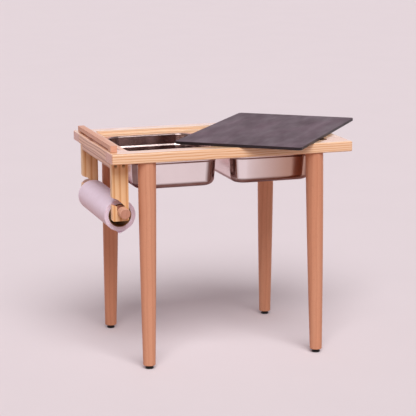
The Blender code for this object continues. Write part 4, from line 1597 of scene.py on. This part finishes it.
@dataclass
class HookBrackets:
    """Two pine hook brackets under the left end, with slanted pockets for their screws.

    The lower left corner of a bracket lies at left and end, and the sizes of its slot are measured
    from the middle of the seat.
    """

    width: float = 0.045
    thickness: float = 0.018
    drop: float = 0.1582
    left: float = -0.3255
    end: float = 0.3995
    at_y: float = 0.167
    corner: float = 0.0055
    square: float = 0.0004
    seat: Pair = (0.0272, 0.0253)
    seat_round: float = 0.0068
    entry_rise: float = 0.0387
    entry_slope: float = 20.5
    entry_round: float = 0.012
    fall_rise: float = 0.0216
    fall_slope: float = 43.0
    fall_round: float = 0.005
    lip_back: float = 0.0140
    lip_inner: float = 0.0150
    lip_tip: float = 0.0203
    lip_round: float = 0.003
    mouth_round: float = 0.004
    ease: float = 0.0007
    pockets: Pair = (0.0110, 0.0325)
    pocket_d: float = 0.0086
    pocket_step: float = -0.0052
    pocket_tail: float = -0.028
    pocket_tilt: float = 38.0
    pocket_depth: float = 0.03
    shank_d: float = 0.0051
    shank_tip: float = 0.014
    cleat: Triple = (0.018, 0.3154, 0.018)
    round_steps: int = 9
    ease_steps: int = 4
    cleat_steps: int = 5
    bit_steps: int = 40
    closest: float = 0.00001
    cleat_pith: Pair = (0.05, -0.02)
    cleat_start: float = 8.3
    plate_pith: Pair = (-0.075, 0.160)
    plate_start: float = 5.0

    def outline(self) -> np.ndarray:
        """Front view from the lower left corner.

        The slot starts at the left edge, runs under a roof that falls in two slopes, and drops
        behind a lip to the seat, an arc about the rod's axis whose left wall falls as steeply as
        the roof and touches the arc.

        Returns:
            Points of the outline, to the right and up.
        """
        seat_x, seat_z = self.seat
        half = self.seat_round
        entry_z, entry_slope = seat_z + self.entry_rise, math.tan(math.radians(self.entry_slope))
        angle = math.radians(self.fall_slope)
        slope = math.tan(angle)
        roof = seat_z + self.fall_rise + slope * seat_x
        bend_x = (roof - entry_z) / (slope - entry_slope)
        right, bottom = seat_x + half, seat_z - half
        touch_x, touch_z = seat_x - half * math.sin(angle), seat_z - half * math.cos(angle)
        lip_x = seat_x - self.lip_back
        rounds = {
            (0.0, 0.0): self.corner,
            (self.width, 0.0): self.corner,
            (self.width, self.drop): self.square,
            (0.0, self.drop): self.square,
            (0.0, entry_z): self.mouth_round,
            (bend_x, entry_z - entry_slope * bend_x): self.entry_round,
            (right, roof - slope * right): self.fall_round,
            (right, bottom): half,
            (touch_x + (touch_z - bottom) / slope, bottom): half,
            (lip_x, touch_z + slope * (touch_x - lip_x)): self.lip_round,
            (lip_x, seat_z + self.lip_inner): self.lip_round,
            (0.0, seat_z + self.lip_tip): self.lip_round,
        }
        return filleted(np.array(list(rounds)), np.array(list(rounds.values())), self.round_steps)

    def plate(self, side: Side) -> Piece:
        """Stack the outline along Y, drawn in along its normals near both faces to ease its edges.

        Args:
            side: front or back.

        Returns:
            The bracket, without its pockets.
        """
        outline = self.outline()
        apart = np.linalg.norm(outline - np.roll(outline, 1, axis=0), axis=1)
        outline = outline[apart > self.closest]
        ahead = unit(np.roll(outline, -1, axis=0) - outline)
        along = unit(ahead + np.roll(ahead, 1, axis=0))
        inward = np.column_stack([-along[:, 1], along[:, 0]])
        half = self.thickness / 2
        level, drawn = eased_levels(-half, half, self.ease, self.ease_steps)
        rings = (self.left, self.end) + outline + inward * drawn[:, None, None]
        points = stacked(rings, side.value * self.at_y + level, Axis.Y)
        return surface(f"pine_bracket_{side.tag}", points + MIDDLE)

    def pocket(self, name: str, side: Side, inset: float) -> Piece:
        """Stepped bit for a screw pocket: a wide bore from the outer face, a slim one to the rail.

        Args:
            name: name of the bit.
            side: front or back.
            inset: distance of the screw from the bracket's left edge.

        Returns:
            The bit.
        """
        wide, slim = self.pocket_d / 2, self.shank_d / 2
        profile = np.array([
            (0.0, self.shank_tip), (slim, self.shank_tip), (slim, self.pocket_step),
            (wide, self.pocket_step), (wide, self.pocket_tail), (0.0, self.pocket_tail),
        ])
        tilt = np.array(Matrix.Rotation(math.radians(self.pocket_tilt) * side.value, 3, "X"))
        middle = MIDDLE + (self.left + inset, side.value * self.at_y, UNDERSIDE)
        return surface(name, turned(profile, self.bit_steps) @ tilt.T + middle, caps=False)

    def mark_bore_shade(self, plate: Piece, side: Side) -> None:
        """Mark the points of the screw pockets, which lie between the plate's faces near its top,
        for their painted shade.

        Args:
            plate: the bored bracket.
            side: front or back.
        """
        places = np.empty(len(plate.data.vertices) * 3)
        plate.data.vertices.foreach_get("co", places)
        x, y, z = (places.reshape(-1, 3) - MIDDLE).T
        clear = 2.0 * self.ease
        between = np.abs(y - side.value * self.at_y) < self.thickness / 2 - clear
        inside = np.abs(x - self.left - self.width / 2) < self.width / 2 - clear
        bore = between & inside & (z > UNDERSIDE - self.pocket_depth)
        shares = plate.data.attributes.new("bore", "FLOAT", "POINT")
        shares.data.foreach_set("value", bore.astype(float))

    def strip(self) -> Piece:
        """Cleat between the brackets: an eased rectangle carried along Y, drawn in at both ends.

        Returns:
            The cleat.
        """
        wide, long, high = self.cleat
        level, drawn = eased_levels(-long / 2, long / 2, self.ease, self.ease_steps)
        rings = rounded_rectangles(wide / 2 - drawn, high / 2 - drawn,
                                   np.full_like(level, self.ease), self.cleat_steps)
        middle = MIDDLE + (self.left + wide / 2, 0.0, self.end + self.drop - high / 2)
        return surface("pine_cleat", stacked(rings, level, Axis.Y) + middle)

    def build(self) -> list[Piece]:
        """Make the cleat, and both brackets from boards with upright grain.

        Returns:
            Cleat and brackets.
        """
        edge = self.left + MIDDLE[0]
        pith = (UNDERSIDE + self.cleat_pith[0], edge + self.cleat_pith[1])
        # The cleat's darker board is painted shade.
        wood = PINE_SHADED.material("pine_cleat", Grain.CROSSWAYS, pith, self.cleat_start)
        pieces = [dress(self.strip(), wood, "table", "pine", "bracket_cleat")]
        for side in Side:
            bits = [self.pocket(f"bit_{side.tag}_{number}", side, inset)
                    for number, inset in enumerate(self.pockets)]
            plate = bored(self.plate(side), bits)
            # The screw pockets get painted shade.
            self.mark_bore_shade(plate, side)
            pith = (edge + self.plate_pith[0], side.value * self.plate_pith[1])
            start = self.plate_start + side.value
            wood = PINE_BROAD.material(plate.name, Grain.UPRIGHT, pith, start, bores=True)
            pieces.append(dress(plate, wood, "table", "pine", f"bracket_{side.tag}"))
        return pieces


@dataclass
class PaperRod:
    """Turned beech rod with a neck in each hook and a knob at each end, the back one wider."""

    wide: float = 0.014
    back_knob: float = 0.021
    neck: float = 0.0065
    body_end: float = 0.157
    neck_end: float = 0.177
    end: float = 0.208
    ease: float = 0.002
    edge: float = 0.0006
    fillet: float = 0.0005
    groove_at: float = 0.55
    groove_half: float = 0.0006
    groove_rims: Triple = (0.00005, 0.00022, 0.00008)
    at: Triple = (-0.2983, 0.0, 0.4248)
    steps: int = 56
    pith: Pair = (-0.004, 0.05)
    start: float = 6.0

    def half(self, knob: float) -> np.ndarray:
        """Half the profile: domed end face with a fine groove, knob, neck and body.

        Args:
            knob: radius of the knob.

        Returns:
            Rows of radius and distance from the middle.
        """
        groove = knob * self.groove_at + self.groove_half * np.array([-1.0, 0.0, 1.0])
        return np.concatenate([
            [[0.0, self.end]], np.column_stack([groove, self.end - np.array(self.groove_rims)]),
            arc((knob - self.ease, self.end - self.ease), self.ease, 90, 0, 7),
            arc((knob - self.edge, self.neck_end + self.edge), self.edge, 0, -90, 4),
            arc((self.neck + self.fillet, self.neck_end - self.fillet), self.fillet, 90, 180, 3),
            arc((self.neck + self.fillet, self.body_end + self.fillet), self.fillet, 180, 270, 3),
            arc((self.wide - self.edge, self.body_end - self.edge), self.edge, 90, 0, 4),
        ])

    def build(self) -> list[Piece]:
        """Turn the back half's profile and the mirror of the front half's, and lay the rod along Y.

        Returns:
            The rod.
        """
        front = self.half(self.wide)[::-1] * (1.0, -1.0)
        profile = np.concatenate([self.half(self.back_knob), front])
        points = lying(turned(profile, self.steps)) + MIDDLE + self.at
        pith = (self.at[2] + self.pith[0], self.at[0] + MIDDLE[0] + self.pith[1])
        wood = BEECH_PALE.material("beech_rod", Grain.CROSSWAYS, pith, self.start)
        rod = surface("beech_paper_rod", points, caps=False)
        return [dress(rod, wood, "paper_rod", "beech", "paper_rod")]


@dataclass
class PaperRoll:
    """Roll of paper on a card tube, with the loose end of its last turn under its lower side."""

    half_length: float = 0.150
    outer: float = 0.0425
    hole: float = 0.0313
    core_outer: float = 0.0310
    core_bore: float = 0.0290
    core_ease: float = 0.0004
    proud: float = 0.0003
    layers: tuple[Triple, ...] = (
        (0.00012, 5200.0, 0.0), (0.00009, 9100.0, 1.0), (0.00008, 2100.0, 0.0),
    )
    tail_from: float = -58.0
    tail_start: float = -0.004
    tail_length: float = 0.028
    tail_inset: float = 0.0008
    tail_thickness: float = 0.0003
    tail_curl: float = 0.300
    tail_drop: float = 0.0011
    tail_waves: tuple[Triple, ...] = ((0.0007, 7.0, 0.6), (0.0004, 17.0, 0.0))
    at: Triple = (-0.2983, 0.0, 0.4101)
    core_steps: int = 72
    core_ease_steps: int = 3
    roll_steps: int = 96
    layer_steps: int = 42
    side_steps: int = 24
    run_steps: int = 18
    tail_steps: int = 60

    def core(self) -> Piece:
        """Card tube: a closed wall profile with eased edges, turned about Y.

        Returns:
            The tube.
        """
        level, drawn = eased_levels(-self.half_length, self.half_length, self.core_ease,
                                    self.core_ease_steps)
        outside = np.column_stack([self.core_outer - drawn, level])
        inside = np.column_stack([self.core_bore + drawn, level])[::-1]
        points = lying(turned(np.concatenate([outside, inside]), self.core_steps))
        return surface("card_core", points + MIDDLE + self.at, caps=False, loop=True)

    def wound(self) -> Piece:
        """Wound paper: the outside, and end faces whose layers stand a little proud of each other.

        On an end face the layer at radius r stands out by a sum of three sines of r, up to 0.3 mm.

        Returns:
            The paper.
        """
        radius = np.linspace(self.outer - self.proud, self.hole, self.layer_steps)
        face = self.half_length - self.proud + waves(radius, self.layers)
        side = np.linspace(-1.0, 1.0, self.side_steps) * (self.half_length - 2.0 * self.proud)
        profile = np.concatenate([
            np.column_stack([radius, -face])[::-1],
            np.column_stack([np.full_like(side, self.outer), side]),
            np.column_stack([radius, face]),
        ])
        points = lying(turned(profile, self.roll_steps)) + MIDDLE + self.at
        return surface("wound_paper", points, caps=False, loop=True)

    def tail(self) -> Piece:
        """Loose end: a thin sheet that leaves the roll along its tangent and curls slightly.

        A point a run s along the tail lies s along the tangent, and s squared over twice a radius
        towards the roll's axis: the roll's own before the tail leaves it, then the curl's. The free
        edge waves by up to 2 mm.

        Returns:
            The loose end.
        """
        leave = math.radians(self.tail_from)
        outward = np.array([math.cos(leave), math.sin(leave)])
        along = np.array([math.sin(leave), -math.cos(leave)])
        run = np.linspace(self.tail_start, self.tail_length, self.run_steps)
        bend = run ** 2 / (2.0 * np.where(run > 0.0, self.tail_curl, self.outer))
        place = np.linspace(-1.0, 1.0, self.tail_steps)
        share = np.clip(run / self.tail_length, 0.0, 1.0) ** 2
        drift = waves(place, self.tail_waves) - self.tail_drop
        lift = self.outer - bend + share * drift[:, None]
        upper, lower = (level[..., None] * outward + run[:, None] * along
                        for level in (lift, lift - self.tail_thickness))
        ring = np.concatenate([upper, lower[:, ::-1]], axis=1)
        points = stacked(ring, place * (self.half_length - self.tail_inset), Axis.Y)
        return surface("paper_tail", points + MIDDLE + self.at)

    def build(self) -> list[Piece]:
        """Make tube, wound paper and loose end.

        Returns:
            The three pieces.
        """
        paper = PAPER.material("wound_paper", MIDDLE + self.at)
        return [
            dress(self.core(), CARD.material("brown_card"), "roll", "cardboard", "roll_core"),
            dress(self.wound(), paper, "roll", "paper", "paper_roll"),
            dress(self.tail(), paper, "roll", "paper"),
        ]


@dataclass
class HiddenHardware:
    """Dowels, bolts, inserts, studs and screws, which keep their CAD shapes."""

    pith: Pair = (0.5, -0.3)
    start: float = 7.0

    def build(self) -> list[Piece]:
        """Give each node that no piece stands for its finish.

        Returns:
            The nodes.
        """
        zinc = ZINC.material("zinc_plating")
        pegs = BEECH.material("beech_dowels", Grain.CROSSWAYS, self.pith, self.start)
        pieces = []
        for name, node in sorted(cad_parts.items()):
            if node.hide_render:
                continue
            node.data.materials.clear()
            node.data.materials.append(pegs if "dowel" in name else zinc)
            pieces.append(node)
        return pieces


# Studio

@dataclass
class Studio:
    """Plain pale floor, soft light and the camera at the photograph's angle."""

    floor_half: float = 30.0
    floor_tint: Colour = tint(226, 216, 220)
    bounce_tint: Colour = tint(176, 144, 128)
    mottle: Cloud = Cloud(3.0, 3.0)
    mottle_left: float = 0.97
    floor_roughness: float = 0.85
    floor_gloss: float = 0.1
    backdrop_tint: Colour = tint(255, 241, 251)
    sides_tint: Colour = tint(216, 208, 209)
    ceiling_tint: Colour = tint(104, 92, 89)
    backdrop_run: Pair = (0.0, 0.8)
    ceiling_run: Pair = (0.25, 0.85)
    sun_level: float = 2.75
    sun_spread: float = 42.0
    sun_from: Triple = (-0.13, -1.0, 1.3)
    picture: int = 416
    focal: float = 1572.1
    sensor: float = 36.0
    far: float = 200.0
    yaw: float = 17.72
    pitch: float = 11.70
    roll: float = -0.27
    distance: float = 4.396
    target: Triple = (-0.0056, 0.0, 0.381)

    def floor(self) -> Piece:
        """Wide level floor, pale to the eye and in the steel, that throws back little light.

        Returns:
            The floor.
        """
        half = self.floor_half
        corners = [(-half, -half, 0.0), (half, -half, 0.0), (half, half, 0.0), (-half, half, 0.0)]
        mesh = bpy.data.meshes.new("floor")
        mesh.from_pydata(corners, [], [(0, 1, 2, 3)])
        piece = bpy.data.objects.new("floor", mesh)
        bpy.context.scene.collection.objects.link(piece)
        nodes = Nodes("pale_floor")
        mottle = nodes.cloud(nodes.place(), self.mottle)
        pale = nodes.blend(mottle, self.floor_tint, darkened(self.floor_tint, self.mottle_left))
        rays = nodes.add("LightPath").outputs
        seen = nodes.larger(rays["Is Camera Ray"], rays["Is Glossy Ray"])
        seen = nodes.larger(seen, rays["Is Transmission Ray"])
        colour = nodes.blend(seen, self.bounce_tint, pale)
        nodes.shade(Base_Color=colour, Roughness=self.floor_roughness,
                    Specular_IOR_Level=self.floor_gloss)
        mesh.materials.append(nodes.material)
        return piece

    def light(self) -> None:
        """Pale backdrop, grey sides and dim ceiling as one smooth world, with a broad sun."""
        world = bpy.data.worlds.new("studio")
        world.use_nodes = True
        room = Tree(world.node_tree)
        look = room.split(room.add("TexCoord").outputs["Generated"])
        behind = room.share(look["Y"], self.backdrop_run)
        around = room.blend(behind, self.sides_tint, self.backdrop_tint)
        above = room.share(look["Z"], self.ceiling_run)
        whole = room.blend(above, around, self.ceiling_tint)
        room.feed(world.node_tree.nodes["Background"], "Color", whole)
        bpy.context.scene.world = world
        lamp = bpy.data.lights.new("key", "SUN")
        lamp.energy = self.sun_level
        lamp.angle = math.radians(self.sun_spread)
        sun = bpy.data.objects.new("key", lamp)
        sun.rotation_euler = Vector(self.sun_from).to_track_quat("Z", "Y").to_euler()
        bpy.context.scene.collection.objects.link(sun)

    def camera(self) -> None:
        """Camera from a fit to the photograph, turned by yaw, pitch and roll towards a target."""
        yaw, pitch, roll = (math.radians(angle) for angle in (self.yaw, self.pitch, self.roll))
        flat = math.cos(pitch)
        ahead = Vector((math.sin(yaw) * flat, math.cos(yaw) * flat, -math.sin(pitch)))
        right = Vector((math.cos(yaw), -math.sin(yaw), 0.0))
        up = right.cross(ahead)
        level = math.cos(roll) * right + math.sin(roll) * up
        upright = -math.sin(roll) * right + math.cos(roll) * up
        place = Vector(self.target) + Vector(MIDDLE) - ahead * self.distance
        data = bpy.data.cameras.new("photo_camera")
        data.sensor_width = self.sensor
        data.lens = self.focal / self.picture * self.sensor
        data.clip_end = self.far
        camera = bpy.data.objects.new("photo_camera", data)
        turn = Matrix((level, upright, -ahead)).transposed().to_4x4()
        camera.matrix_world = Matrix.Translation(place) @ turn
        bpy.context.scene.collection.objects.link(camera)
        bpy.context.scene.camera = camera

    def build(self) -> list[Piece]:
        """Set light, camera and floor.

        Returns:
            The floor.
        """
        bpy.context.scene.view_settings.view_transform = "Standard"
        self.light()
        self.camera()
        return [self.floor()]


def main() -> None:
    """Build studio and sub-assemblies in order, and log each piece."""
    logging.basicConfig(level=logging.INFO, format="%(message)s")
    assemblies = (Studio(), TopFrame(), SteelPans(), Lid(), Legs(), PaperBar(), HookBrackets(),
                  PaperRod(), PaperRoll(), HiddenHardware())
    for assembly in assemblies:
        group = type(assembly).__name__
        for piece in assembly.build():
            LOG.info("%s: %s, %d faces", group, piece.name, len(piece.data.polygons))


if __name__ == "__main__":
    main()
